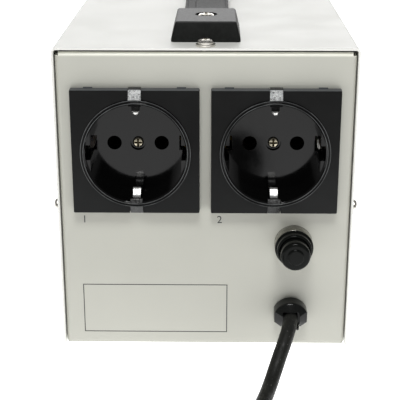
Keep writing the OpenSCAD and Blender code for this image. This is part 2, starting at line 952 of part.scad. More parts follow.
// Carrier: an insulator with two chambers behind the recess
module contact_carrier() {
    difference() {
        translate([0, 0, -cup_back - carrier_h])
            cylinder(d = carrier_d, h = carrier_h);
        for (s = sides)
            translate([s * pin_pitch / 2, 0, -cup_back - carrier_h - over])
                cylinder(d = chamber_d, h = carrier_h + 2 * over);
        translate([0, 0, -cup_back - carrier_h - over])
            cylinder(d = outlet_shank_d + 2 * clear, h = carrier_h + 2 * over);
        for (s = sides)
            translate([s < 0 ? -carrier_d : recess_flats / 2 - channel_in - over, -channel_w / 2, -cup_back - carrier_h - over])
                cube([carrier_d - recess_flats / 2 + channel_in + over, channel_w, carrier_h + 2 * over]);
    }
}

module contact_carrier_left() {
    color([0.85, 0.83, 0.78])
        on_rear(-outlet_pitch / 2, outlet_z)
            contact_carrier();
}

module contact_carrier_right() {
    color([0.85, 0.83, 0.78])
        on_rear(outlet_pitch / 2, outlet_z)
            contact_carrier();
}

// Earth strip: over the plate's edge, down each side of the recess and across behind it
module earth_strip() {
    rim_z = plate_t - 1.5 * earth_t;
    inner = [
        [earth_line, rim_z], [earth_line, 0.06 * cup_depth],
        [earth_line - 0.9 * earth_bulge, -0.11 * cup_depth],
        [earth_line - earth_bulge, -0.17 * cup_depth],
        [earth_line - 0.9 * earth_bulge, -0.26 * cup_depth],
        [earth_line, -0.75 * cup_depth], [earth_line, -earth_back]
    ];
    whole = concat(inner, [for (i = [len(inner) - 1:-1:0]) [-inner[i][0], inner[i][1]]]);
    difference() {
        union() {
            for (s = sides) {
                reach = earth_reach + s * plate_lift;
                outer = [
                    [reach, earth_t / 4], [reach, plate_t - 2 * over + earth_t / 2],
                    [recess_d / 2 + earth_t, plate_t + earth_t / 4], [earth_line, rim_z],
                    [earth_line, rim_z - 2 * earth_t]
                ];
                rotate(s < 0 ? 180 : 0)
                    translate([-earth_w / 2, 0, 0])
                        rotate([90, 0, 90])
                            linear_extrude(earth_w)
                                polygon(ribbon(outer, earth_t));
            }
            translate([-earth_in_w / 2, 0, 0])
                rotate([90, 0, 90])
                    linear_extrude(earth_in_w)
                        polygon(ribbon(whole, earth_t));
            translate([0, 0, -earth_back - earth_t / 2])
                cylinder(d = 2.4 * outlet_shank_d, h = earth_t);
        }
        translate([0, 0, -earth_back - over])
            cylinder(d = outlet_shank_d + 2 * snug, h = 2 * over);
    }
}

module earth_strip_left() {
    color([0.72, 0.73, 0.72])
        on_rear(-outlet_pitch / 2, outlet_z)
            earth_strip();
}

module earth_strip_right() {
    color([0.72, 0.73, 0.72])
        on_rear(outlet_pitch / 2, outlet_z)
            earth_strip();
}

module socket_screws() {
    color([0.8, 0.78, 0.7])
        at_outlets()
            translate([0, 0, -cup_depth - screw_well_h])
                pan_screw(outlet_head_d, outlet_head_h, outlet_shank_d, cup_floor - screw_well_h + carrier_h + 4 * earth_t);
}

// Contacts: a sleeve for each pin with a tab behind it
module pin_contacts() {
    color([0.8, 0.65, 0.3])
        at_outlets()
            for (s = sides)
                translate([s * pin_pitch / 2, 0, -cup_back - carrier_h + clear])
                    difference() {
                        union() {
                            cylinder(d = sleeve_d, h = sleeve_l);
                            translate([-tab_t / 2, -tab_w / 2 + clear, -tab_l])
                                cube([tab_t, tab_w - 2 * clear, tab_l + tab_t]);
                        }
                        translate([0, 0, tab_t])
                            cylinder(d = sleeve_bore_d, h = sleeve_l);
                        translate([-tab_t / 2, 0, 2 * tab_t])
                            cube([tab_t, sleeve_d, sleeve_l]);
                    }
}

// Breaker: a round case behind the panel, its barrel through it and a ring in front
module breaker_body() {
    color([0.1, 0.1, 0.1])
        on_rear(breaker_x, breaker_z)
            difference() {
                union() {
                    translate([0, 0, -sheet_t - breaker_case_l])
                        cylinder(d = breaker_case_d, h = breaker_case_l);
                    translate([0, 0, -sheet_t - over])
                        cylinder(d = barrel_d, h = sheet_t + over + barrel_reach);
                }
                translate([0, 0, -stem_back - 4 * over])
                    cylinder(d = stem_d + 2 * clear, h = stem_back + 6 * over + barrel_reach);
            }
}

module breaker_ring() {
    inner = barrel_d / 2 + snug;
    color([0.08, 0.08, 0.08])
        on_rear(breaker_x, breaker_z)
            rotate_extrude()
                polygon([
                    [inner, 0], [ring_d / 2, 0], [ring_d / 2, ring_h - ring_edge],
                    [ring_d / 2 - ring_edge, ring_h], [collar_d / 2, ring_h],
                    [collar_d / 2, ring_h + collar_h - ring_edge],
                    [collar_d / 2 - ring_edge, ring_h + collar_h], [inner, ring_h + collar_h]
                ]);
}

module breaker_button() {
    r = button_d / 2;
    color([0.06, 0.06, 0.06])
        on_rear(breaker_x, breaker_z)
            rotate_extrude()
                polygon([
                    [0, -stem_back], [stem_d / 2, -stem_back], [stem_d / 2, button_back], [r, button_back],
                    [r, button_reach - button_edge], [r - 0.4 * button_edge, button_reach - 0.25 * button_edge],
                    [r - button_edge, button_reach], [r - 1.6 * button_edge, button_reach],
                    [r - 2.2 * button_edge, button_reach - button_dish], [0, button_reach - button_dish]
                ]);
}

// Push-on tabs of the breaker and of the power switch
module spade_tabs() {
    color([0.8, 0.8, 0.76]) {
        on_rear(breaker_x, breaker_z)
            for (s = sides)
                translate([s * breaker_case_d / 4 - tab_t / 2, -tab_w / 2, -sheet_t - breaker_case_l - tab_l])
                    cube([tab_t, tab_w, tab_l]);
        on_front(-switch_x, switch_z)
            for (x = sides, y = sides)
                translate([x * housing_w / 4 - tab_t / 2, y * housing_h / 4 - tab_w / 2, -housing_l - tab_l])
                    cube([tab_t, tab_w, tab_l]);
    }
}

// Strain relief: a snap-in bushing, arched above and chamfered below, with a mouth that opens downwards
module strain_relief() {
    color([0.05, 0.05, 0.05])
        on_rear(relief_x, relief_z)
            difference() {
                union() {
                    linear_extrude(relief_lip)
                        relief_shape(relief_h / 2, 0);
                    hull() {
                        linear_extrude(relief_reach - relief_edge)
                            relief_shape(relief_low, 0);
                        linear_extrude(relief_reach)
                            relief_shape(relief_low, relief_edge);
                    }
                    translate([-relief_neck_w / 2, -relief_neck_h / 2, -relief_neck_l])
                        cube([relief_neck_w, relief_neck_h, relief_neck_l + relief_lip]);
                    for (s = sides)
                        translate([0, relief_neck_h / 4, 0])
                            rotate([90, 0, 0])
                                linear_extrude(relief_neck_h / 2)
                                    polygon([
                                        [0, -sheet_t - clear], [s * (relief_neck_w / 2 + relief_lip), -sheet_t - clear],
                                        [s * relief_neck_w / 2, -relief_neck_l], [0, -relief_neck_l]
                                    ]);
                }
                translate([0, relief_mouth_up - relief_mouth_w / 2, relief_mouth_back])
                    cylinder(d = relief_mouth_w, h = relief_reach);
                translate([-relief_mouth_w / 2, relief_mouth_up - relief_mouth_w / 2 - relief_h, relief_mouth_back])
                    cube([relief_mouth_w, relief_h, relief_reach]);
            }
}

// The bushing's outline: an arc above, a flat with two chamfers below; "inset" draws its edges in
module relief_shape(low, inset) {
    half = relief_w / 2;
    turn = asin(half / relief_arc_r);
    polygon(concat(
        [for (i = [0:relief_steps]) let(a = turn * (1 - 2 * i / relief_steps))
            [(relief_arc_r - inset) * sin(a), relief_h / 2 - relief_arc_r + (relief_arc_r - inset) * cos(a)]],
        [
            [inset - half, relief_chamfer - low], [-relief_low_w / 2, inset - low],
            [relief_low_w / 2, inset - low], [half - inset, relief_chamfer - low]
        ]
    ));
}

// A tube along a list of places, as triangles
function ring_side(d) = unit(cross(d, [0, 0, 1]));
function ring_up(d) = cross(ring_side(d), d);
function heading(p, i) = unit(p[min(i + 1, len(p) - 1)] - p[max(i - 1, 0)]);
function tube_points(p, r, n) = [
    for (i = [0:len(p) - 1]) let(d = heading(p, i), u = ring_side(d), v = ring_up(d))
        for (k = [0:n - 1]) let(a = 360 * (k + 0.5) / n) p[i] + r * (cos(a) * u + sin(a) * v)
];
function tube_faces(count, n) = concat(
    [for (k = [1:n - 2]) [0, k, k + 1]],
    [for (i = [0:count - 2], k = [0:n - 1]) [i * n + k, (i + 1) * n + k, (i + 1) * n + (k + 1) % n]],
    [for (i = [0:count - 2], k = [0:n - 1]) [i * n + k, (i + 1) * n + (k + 1) % n, i * n + (k + 1) % n]],
    [for (k = [1:n - 2]) [(count - 1) * n, (count - 1) * n + k + 1, (count - 1) * n + k]]
);

module tube(p, r, n) {
    polyhedron(points = tube_points(p, r, n), faces = tube_faces(len(p), n), convexity = 10);
}

module mains_cord() {
    color([0.1, 0.1, 0.1])
        tube(lead_route, cord_r, cord_sides);
}

// The coil winds in on the lower layer, climbs where it reverses and winds out on the upper
function climb(t) = let(f = min(max((t - coil_half + 0.25) * 2, 0), 1)) f * f * (3 - 2 * f);
function coil_place(t) = let(
        r = coil_r - coil_step * (coil_half - abs(t - coil_half)),
        a = -360 * t
    ) [coil_x + r * cos(a), coil_y + r * sin(a), coil_low + coil_rise * climb(t)];
coil_path = concat(
    [[coil_x + coil_r, coil_y + cord_d, coil_low]],
    [for (i = [0:coil_turns * coil_rings]) coil_place(i / coil_rings)],
    [[coil_x + coil_r, coil_y - cord_d, coil_low + coil_rise]]
);
coil_gap = min([
    for (i = [0:len(coil_path) - 1])
        for (j = [i + coil_rings / 2:len(coil_path) - 1]) norm(coil_path[i] - coil_path[j])
]) - cord_d;
echo(coil_gap = coil_gap);

module cord_coil() {
    color([0.1, 0.1, 0.1])
        tube(coil_path, cord_r, coil_sides);
}

module cord_tail() {
    first = plug_end + [0, tail_l, 0];
    bend = [0, -cos(plug_tilt), sin(plug_tilt)];
    color([0.1, 0.1, 0.1])
        tube([first, first + [0, -tail_l / 4, 0], plug_end + [0, tail_l / 2, 0],
            plug_end - bend * tail_l / 4, plug_end], cord_r, cord_sides);
}

// Tie: a flat band round all the turns
module coil_tie() {
    in_r = coil_r - coil_step * coil_half - cord_r - tie_gap;
    out_r = coil_r - coil_step / 2 + cord_r + tie_gap;
    top = coil_low + coil_rise + cord_r + tie_gap;
    bottom = coil_low - cord_r - tie_gap;
    color([0.12, 0.12, 0.12])
        translate([coil_x, coil_y, 0])
            rotate([90, 0, 0])
                translate([-(in_r + out_r) / 2, (top + bottom) / 2, -tie_w / 2])
                    linear_extrude(tie_w)
                        difference() {
                            round_rect(out_r - in_r + 2 * tie_t, top - bottom + 2 * tie_t, 3 * tie_t);
                            round_rect(out_r - in_r, top - bottom, 2 * tie_t);
                        }
}

// Plug: local z runs from the lead's end to the pins
module at_plug() {
    translate(plug_end)
        rotate([90 - plug_tilt, 0, 0])
            children();
}

module plug_body() {
    r = plug_d / 2;
    color([0.1, 0.1, 0.1])
        at_plug()
            difference() {
                rotate_extrude()
                    polygon([
                        [0, 0], [plug_end_d / 2, 0], [plug_neck_d / 2, plug_neck_l],
                        [0.42 * plug_grip_d, plug_neck_l], [plug_grip_d / 2, 1.1 * plug_neck_l],
                        [plug_grip_d / 2, plug_neck_l + 0.45 * plug_grip_l],
                        [0.58 * plug_grip_d, plug_neck_l + 0.75 * plug_grip_l],
                        [0.8 * r, plug_seat - 0.12 * plug_grip_l], [0.97 * r, plug_seat],
                        [r, plug_seat + 0.05 * r], [r, plug_l - 0.04 * r], [0.96 * r, plug_l], [0, plug_l]
                    ]);
                for (s = sides) {
                    translate([s < 0 ? -plug_d : r - plug_groove_d, -plug_groove_w / 2, plug_seat])
                        cube([plug_d - r + plug_groove_d, plug_groove_w, plug_l]);
                    translate([-plug_clip_w / 2 - clear, s < 0 ? -plug_d : r - plug_clip_in, plug_seat + plug_clip_t])
                        cube([plug_clip_w + 2 * clear, plug_d - r + plug_clip_in, plug_l]);
                    translate([s * pin_pitch / 2, 0, plug_l - plug_face_l])
                        cylinder(d = pin_d + 2 * snug, h = plug_l);
                }
            }
}

module plug_pins() {
    r = pin_d / 2;
    color([0.75, 0.75, 0.72])
        at_plug()
            for (s = sides)
                translate([s * pin_pitch / 2, 0, 0])
                    rotate_extrude()
                        polygon([
                            [0, plug_l - plug_face_l], [r, plug_l - plug_face_l], [r, plug_l + pin_l - r],
                            [0.9 * r, plug_l + pin_l - 0.5 * r], [0.5 * r, plug_l + pin_l], [0, plug_l + pin_l]
                        ]);
}

module plug_earth_clips() {
    r = plug_d / 2;
    low = plug_seat + plug_clip_t;
    color([0.75, 0.75, 0.72])
        at_plug()
            for (s = [0, 180])
                rotate(s)
                    translate([-plug_clip_w / 2, 0, 0])
                        rotate([90, 0, 90])
                            linear_extrude(plug_clip_w)
                                polygon(ribbon([
                                    [r - plug_clip_in + plug_clip_t / 2, low],
                                    [r - plug_clip_in + plug_clip_t / 2, low + 0.25 * plug_face_l],
                                    [r - plug_clip_t, low + 0.5 * plug_face_l],
                                    [r - plug_clip_in + plug_clip_t, plug_l - plug_clip_t]
                                ], plug_clip_t));
}

// Display: a bezel through the panel, its pane, and the board with the digits behind
module display_bezel() {
    color([0.12, 0.12, 0.13])
        on_front(0, window_z)
            difference() {
                union() {
                    linear_extrude(bezel_t)
                        round_rect(window_w + 2 * bezel_rim, window_h + 2 * bezel_rim, bezel_corner);
                    translate([0, 0, -bezel_back])
                        linear_extrude(bezel_back + bezel_t / 2)
                            round_rect(window_w + 2 * bezel_lip, window_h + 2 * bezel_lip, bezel_lip);
                }
                translate([0, 0, bezel_t - window_set - window_t])
                    linear_extrude(bezel_t + over)
                        round_rect(window_w, window_h, bezel_lip);
                translate([0, 0, -bezel_back - over])
                    linear_extrude(bezel_back + bezel_t + over)
                        round_rect(window_w - 2 * over, window_h - 2 * over, over);
            }
}

module display_window() {
    color([0.2, 0.05, 0.05, 0.6])
        on_front(0, window_z)
            translate([0, 0, bezel_t - window_set - window_t])
                linear_extrude(window_t)
                    round_rect(window_w - 2 * snug, window_h - 2 * snug, bezel_lip - snug);
}

module display_module() {
    color([0.2, 0.2, 0.2])
        on_front(0, window_z)
            translate([0, 0, -front_board_y])
                linear_extrude(module_d)
                    round_rect(0.9 * window_w, 0.75 * window_h, over);
}

module front_board() {
    color([0.1, 0.35, 0.15])
        on_front(front_board_w / 2, front_board_low)
            translate([0, 0, -front_board_y - front_board_t])
                cube([front_board_w, front_board_top - front_board_low, front_board_t]);
}

module indicator_lamps() {
    color([0.3, 0.75, 0.3])
        for (i = [-1:1])
            on_front(i * lamp_pitch, lamp_z)
                rotate_extrude()
                    polygon([
                        [0, -front_board_y], [lamp_flange_d / 2, -front_board_y],
                        [lamp_flange_d / 2, lamp_flange_h - front_board_y], [lamp_d / 2, lamp_flange_h - front_board_y],
                        [lamp_d / 2, lamp_reach - lamp_d / 2], [0.46 * lamp_d, lamp_reach - 0.3 * lamp_d],
                        [0.35 * lamp_d, lamp_reach - 0.14 * lamp_d], [0.19 * lamp_d, lamp_reach - 0.04 * lamp_d],
                        [0, lamp_reach]
                    ]);
}

// Power switch: a housing with a rim and a rocker on its pins
module rocker_housing() {
    hollow_w = rocker_w + 2 * rocker_side_gap;
    hollow_h = 2 * (rocker_half + rocker_end_gap);
    hollow_l = 0.6 * housing_l;
    color([0.1, 0.1, 0.1])
        on_front(-switch_x, switch_z)
            difference() {
                union() {
                    linear_extrude(housing_rim_t)
                        round_rect(housing_w + 2 * housing_rim, housing_h + 2 * housing_rim, housing_rim);
                    translate([-housing_w / 2, -housing_h / 2, -housing_l])
                        cube([housing_w, housing_h, housing_l + housing_rim_t / 2]);
                }
                translate([-hollow_w / 2, -hollow_h / 2, -hollow_l])
                    cube([hollow_w, hollow_h, hollow_l + housing_rim_t + over]);
                translate([-rocker_w / 2 - rocker_pin_l - rocker_side_gap, 0, rocker_pivot_z])
                    rotate([0, 90, 0])
                        cylinder(d = rocker_pin_d + 4 * snug, h = rocker_w + 2 * (rocker_pin_l + rocker_side_gap));
            }
}

module power_rocker() {
    rise = rocker_half * tan(rocker_tilt);
    color([0.7, 0.08, 0.08])
        on_front(-switch_x, switch_z)
            translate([0, 0, rocker_pivot_z])
                rotate([rocker_tilt, 0, 0]) {
                    translate([-rocker_w / 2, 0, 0])
                        rotate([90, 0, 90])
                            linear_extrude(rocker_w)
                                polygon([
                                    [-rocker_half, rocker_pivot_in + rise], [0, rocker_pivot_in],
                                    [rocker_half, rocker_pivot_in + rise], [rocker_half, 0],
                                    [0.5 * rocker_half, -rocker_skirt], [-0.5 * rocker_half, -rocker_skirt],
                                    [-rocker_half, 0]
                                ]);
                    translate([-rocker_w / 2 - rocker_pin_l, 0, 0])
                        rotate([0, 90, 0])
                            cylinder(d = rocker_pin_d, h = rocker_w + 2 * rocker_pin_l);
                }
}

// Delay switch: a barrel through the panel, its nut, and the sprung button
module delay_switch() {
    color([0.1, 0.1, 0.1])
        on_front(switch_x, switch_z)
            difference() {
                union() {
                    cylinder(d = delay_flange_d, h = delay_flange_h);
                    translate([0, 0, -delay_barrel_l])
                        cylinder(d = delay_barrel_d, h = delay_barrel_l + delay_flange_h / 2);
                }
                translate([0, 0, -delay_stem - 3 * over])
                    cylinder(d = delay_d + 2 * clear, h = delay_barrel_l);
            }
}

module delay_button() {
    r = delay_d / 2;
    color([0.12, 0.35, 0.14])
        on_front(switch_x, switch_z)
            rotate_extrude()
                polygon([
                    [0, -delay_stem], [r, -delay_stem], [r, 0.85 * delay_reach],
                    [0.9 * r, delay_reach], [0, delay_reach]
                ]);
}

module delay_nut() {
    color([0.1, 0.1, 0.1])
        on_front(switch_x, switch_z)
            translate([0, 0, -sheet_t - delay_nut_h])
                difference() {
                    cylinder(d = 1.4 * delay_barrel_d, h = delay_nut_h, $fn = 6);
                    translate([0, 0, -over])
                        cylinder(d = delay_barrel_d + 2 * snug, h = delay_nut_h + 2 * over);
                }
}

// Transformer: stacked laminations with two windows, on feet bolted to the tray
module at_core_bolts() {
    for (x = sides, z = sides)
        translate([x * (core_w / 2 - leg_w / 4), core_y, core_z + core_h / 2 + z * (core_h / 2 - leg_w / 4)])
            rotate([90, 0, 0])
                children();
}

module at_bolt_ends(side) {
    for (x = sides, z = sides)
        translate([x * (core_w / 2 - leg_w / 4), core_y - side * (core_t / 2 + (z < 0 ? foot_t : 0)),
            core_z + core_h / 2 + z * (core_h / 2 - leg_w / 4)])
            rotate([side * 90, 0, 0])
                children();
}

module transformer_core() {
    color([0.35, 0.33, 0.32])
        difference() {
            translate([0, core_y + core_t / 2, core_z + core_h / 2])
                rotate([90, 0, 0])
                    linear_extrude(core_t)
                        difference() {
                            square([core_w, core_h], center = true);
                            for (s = sides)
                                translate([s * (leg_w / 2 + slot_w / 2), 0])
                                    square([slot_w, slot_h], center = true);
                        }
            at_core_bolts()
                translate([0, 0, -core_t])
                    cylinder(d = bolt_d + 4 * snug, h = 2 * core_t);
        }
}

module transformer_bobbin() {
    in_w = leg_w + 2 * clear;
    in_d = core_t + 2 * clear;
    out_w = leg_w + 2 * slot_w - 2 * clear;
    flange_d = core_t + 2 * coil_out;
    low = core_z + (core_h - slot_h) / 2 + clear;
    high = slot_h - 2 * clear;
    color([0.85, 0.82, 0.7])
        translate([0, core_y, low])
            difference() {
                union() {
                    for (z = [0, high - bobbin_t])
                        translate([-out_w / 2, -flange_d / 2, z])
                            cube([out_w, flange_d, bobbin_t]);
                    translate([-in_w / 2 - bobbin_t, -in_d / 2 - bobbin_t, 0])
                        cube([in_w + 2 * bobbin_t, in_d + 2 * bobbin_t, high]);
                }
                translate([-in_w / 2, -in_d / 2, -over])
                    cube([in_w, in_d, high + 2 * over]);
            }
}

module transformer_winding() {
    in_w = leg_w + 2 * (2 * clear + bobbin_t);
    in_d = core_t + 2 * (2 * clear + bobbin_t);
    out_w = leg_w + 2 * slot_w - 2 * (clear + bobbin_t);
    out_d = core_t + 2 * (coil_out - bobbin_t);
    low = core_z + (core_h - slot_h) / 2 + clear + bobbin_t + clear;
    high = slot_h - 4 * clear - 2 * bobbin_t;
    color([0.75, 0.6, 0.2])
        translate([0, core_y, low])
            linear_extrude(high)
                difference() {
                    round_rect(out_w, out_d, 0.4 * coil_out);
                    square([in_w, in_d], center = true);
                }
}

module transformer_feet() {
    color([0.7, 0.7, 0.68])
        for (s = sides)
            difference() {
                translate([-core_w / 2, core_y + s * (core_t / 2), 0])
                    rotate([90, 0, 90])
                        linear_extrude(core_w)
                            polygon([
                                [0, floor_z], [s * (foot_out + foot_t), floor_z], [s * (foot_out + foot_t), floor_z + foot_t],
                                [s * foot_t, floor_z + foot_t], [s * foot_t, core_z + leg_w / 2 - over], [0, core_z + leg_w / 2 - over]
                            ]);
                at_core_bolts()
                    translate([0, 0, -core_t])
                        cylinder(d = bolt_d + 4 * snug, h = 2 * core_t);
                at_core_feet(tray_z)
                    cylinder(d = m4_hole_d, h = foot_out);
            }
}

module transformer_bolts() {
    color([0.8, 0.8, 0.78])
        at_bolt_ends(1)
            pan_screw(m4_head_d, m4_head_h, bolt_d, core_t + 2 * foot_t + 1.2 * nut_h);
}

module mounting_screws() {
    color([0.8, 0.8, 0.78])
        at_core_feet(floor_z + foot_t)
            pan_screw(m4_head_d, m4_head_h, m4_d, foot_t + sheet_t + nut_h);
}

// Relay board on pillars
module relay_board() {
    color([0.1, 0.35, 0.15])
        difference() {
            translate([board_x - board_w / 2, board_y - board_d / 2, board_z])
                cube([board_w, board_d, board_t]);
            at_board_holes(board_z - over)
                cylinder(d = m3_d + 2 * clear, h = board_t + 2 * over);
        }
}

module board_pillars() {
    color([0.8, 0.7, 0.4])
        at_board_holes(floor_z)
            washer(pillar_d, m3_d + 2 * snug, board_lift);
}

module board_screws() {
    color([0.8, 0.8, 0.78])
        at_board_holes(board_z + board_t)
            pan_screw(m3_head_d, m3_head_h, m3_d, board_t + board_lift);
}

module relays() {
    color([0.15, 0.35, 0.7])
        for (i = [0:2])
            translate([board_x + (i - 1) * (relay_w + relay_gap), board_y + board_d / 2 - 0.75 * relay_l, board_z + board_t])
                linear_extrude(relay_h)
                    round_rect(relay_w, relay_l, 0.05 * relay_w);
}

module capacitors() {
    color([0.12, 0.12, 0.35])
        for (i = [0:1])
            translate([board_x + (i - 0.5) * 1.3 * cap_can_d, board_y - 0.1 * board_d, board_z + board_t])
                cylinder(d = cap_can_d, h = can_h);
}

module terminal_block() {
    color([0.15, 0.5, 0.2])
        difference() {
            translate([board_x - block_l / 2, board_y - board_d / 2 + over, board_z + board_t])
                cube([block_l, block_d, block_h]);
            for (i = [0:4])
                translate([board_x + (i - 2) * block_l / 5.5, board_y - board_d / 2 + over + block_d / 2, board_z + board_t + block_h / 2])
                    cylinder(d = 0.5 * block_d, h = block_h);
        }
}

chassis_floor();
rear_panel();
front_panel();
top_cover();
cover_screws();
cover_washers();
rubber_feet();
foot_screws();
handle_cap_rear();
handle_cap_front();
handle_screws();
handle_strap();
hex_nuts();
socket_plate_left();
socket_plate_right();
socket_cup_left();
socket_cup_right();
contact_carrier_left();
contact_carrier_right();
earth_strip_left();
earth_strip_right();
socket_screws();
pin_contacts();
breaker_body();
breaker_ring();
breaker_button();
spade_tabs();
strain_relief();
mains_cord();
cord_coil();
cord_tail();
coil_tie();
plug_body();
plug_pins();
plug_earth_clips();
display_bezel();
display_window();
display_module();
indicator_lamps();
front_board();
rocker_housing();
power_rocker();
delay_switch();
delay_button();
delay_nut();
transformer_core();
transformer_bobbin();
transformer_winding();
transformer_feet();
transformer_bolts();
mounting_screws();
relay_board();
board_pillars();
board_screws();
relays();
capacitors();
terminal_block();
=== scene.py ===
import json
import math

import bmesh
import bpy
from mathutils import Matrix, Vector


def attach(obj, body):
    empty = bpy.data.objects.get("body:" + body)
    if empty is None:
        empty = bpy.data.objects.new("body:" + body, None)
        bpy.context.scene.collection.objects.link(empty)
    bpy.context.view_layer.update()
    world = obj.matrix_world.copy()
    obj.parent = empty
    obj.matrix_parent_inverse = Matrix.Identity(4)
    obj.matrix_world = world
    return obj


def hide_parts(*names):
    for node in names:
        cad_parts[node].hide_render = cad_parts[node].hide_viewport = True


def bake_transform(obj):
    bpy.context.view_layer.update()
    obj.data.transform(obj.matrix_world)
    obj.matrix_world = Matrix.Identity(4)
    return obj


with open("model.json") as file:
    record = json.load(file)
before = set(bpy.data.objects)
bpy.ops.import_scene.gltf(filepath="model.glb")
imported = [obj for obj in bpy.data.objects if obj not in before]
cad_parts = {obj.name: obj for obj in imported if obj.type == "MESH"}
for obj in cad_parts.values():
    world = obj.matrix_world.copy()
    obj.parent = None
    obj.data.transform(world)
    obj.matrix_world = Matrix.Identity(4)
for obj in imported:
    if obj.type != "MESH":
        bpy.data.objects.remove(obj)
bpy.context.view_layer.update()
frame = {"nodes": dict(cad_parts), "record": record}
NODES = frame["nodes"]
SLOT_OF = {entry["node"]: entry["material_slot"] for entry in frame["record"]["subparts"]}
MM = 0.001

# Places from the part's source, in millimetres and degrees
REAR_Y, FRONT_Y, TOP_Z, TRAY_Z = -90.0, 100.0, 130.0, 5.0
OUTLET_X, OUTLET_Z = 27.2, 89.0
OUTLETS = (("left", -OUTLET_X), ("right", OUTLET_X))
CUP_FLOOR_Y = -78.0
BREAKER_X, BREAKER_Z = 35.5, 50.6
RELIEF_X, RELIEF_Z = 35.0, 20.4
ROCKER_X, ROCKER_Z, ROCKER_TILT = -28.0, 25.0, 10.0
DISPLAY_Z = 86.0
CAP_REAR_Y, CAP_FRONT_Y = -79.0, 89.0
SPAN_REAR_Y, SPAN_FRONT_Y = -45.0, 55.0

# Where the rounding of the outlet plates' upper edges begins
PLATE_EDGE_Z = OUTLET_Z + 25.3

# The circle between an outlet rim's two beads, their distance from it, and the rim's reach and seats
RIM_R, RIM_BEAD = 20.9, 0.54
RIM_OUT_R, RIM_SEAT, RIM_OVER_STRIP = 21.66, 3.88, 4.12

# Rounding of the edges of moulded copies, and how far ink stands off
EDGE_R, INK = 0.28, 0.02

# Sockets of a Mix node for colours
MIX_SHARE, MIX_FROM, MIX_TO, MIX_OUT = 0, 6, 7, 2

# The lead, its coil and its plug, as in the part's source
CORD_D = 5.9
CORD_START = (RELIEF_X, -94.0, RELIEF_Z)
LEAD_LOW, COIL_LOW = 3.05, 3.75
LEAD_STEPS = [
    (0, 0), (-0.1, 2.6), (-0.5, 5.4), (-1.1, 8.3), (-1.9, 11.2), (-2.9, 14), (-4, 16.5),
    (-5.2, 18.8), (-6.4, 21.3), (-7.6, 24.1), (-8.7, 27.1), (-9.8, 30.4), (-10.8, 33.8),
    (-11.8, 37.3), (-14.4, 47), (-16.8, 57), (-18.7, 67), (-20, 77), (-20.7, 87), (-21, 95), (-21, 100),
]
LEAD_SHARES = [
    (1, 0), (0.99, 0), (0.965, 0), (0.92, 0), (0.845, 0), (0.75, 0), (0.63, 0),
    (0.5, 0), (0.355, 0), (0.23, 0), (0.125, 0), (0.055, 0), (0.015, 0),
    (0, 0), (0, 0), (0, 0), (0, 0.15), (0, 0.4), (0, 0.85), (0, 1), (0, 1),
]
COIL_TURNS, COIL_R, COIL_STEP, COIL_RISE = 5, 40.0, 6.4, 6.4
COIL_X = CORD_START[0] + LEAD_STEPS[-1][0] - COIL_R
COIL_Y = CORD_START[1] - LEAD_STEPS[-1][1] - CORD_D
TAIL_L = 12.0
PLUG_D, PLUG_L, PLUG_FACE_L = 37.0, 62.0, 10.0
PLUG_END = Vector((COIL_X + COIL_R, COIL_Y - CORD_D - TAIL_L, COIL_LOW + COIL_RISE))

# The camera, fitted to the photograph's frame
PHOTO_PX, FOCAL_PX, SENSOR_MM = 400.0, 1073.7, 36.0
CAMERA_AT = (3.995, -492.4, 213.2)
CAMERA_PITCH, CAMERA_YAW, CAMERA_ROLL = 19.731, -0.869, -0.03


def linked(name, data):
    """A new object in the scene."""
    obj = bpy.data.objects.new(name, data)
    bpy.context.scene.collection.objects.link(obj)
    return obj


# Camera
def add_camera():
    data = bpy.data.cameras.new("photo_view")
    data.sensor_width = SENSOR_MM
    data.lens = SENSOR_MM * FOCAL_PX / PHOTO_PX
    data.clip_start = 0.01
    camera = linked("photo_view", data)
    pitch, yaw, roll = (math.radians(a) for a in (CAMERA_PITCH, CAMERA_YAW, CAMERA_ROLL))
    ahead = Vector((math.sin(yaw) * math.cos(pitch), math.cos(yaw) * math.cos(pitch), -math.sin(pitch)))
    turn = ahead.to_track_quat("-Z", "Y").to_matrix().to_4x4() @ Matrix.Rotation(roll, 4, "Z")
    camera.matrix_world = Matrix.Translation(Vector(CAMERA_AT) * MM) @ turn
    bpy.context.scene.camera = camera


add_camera()


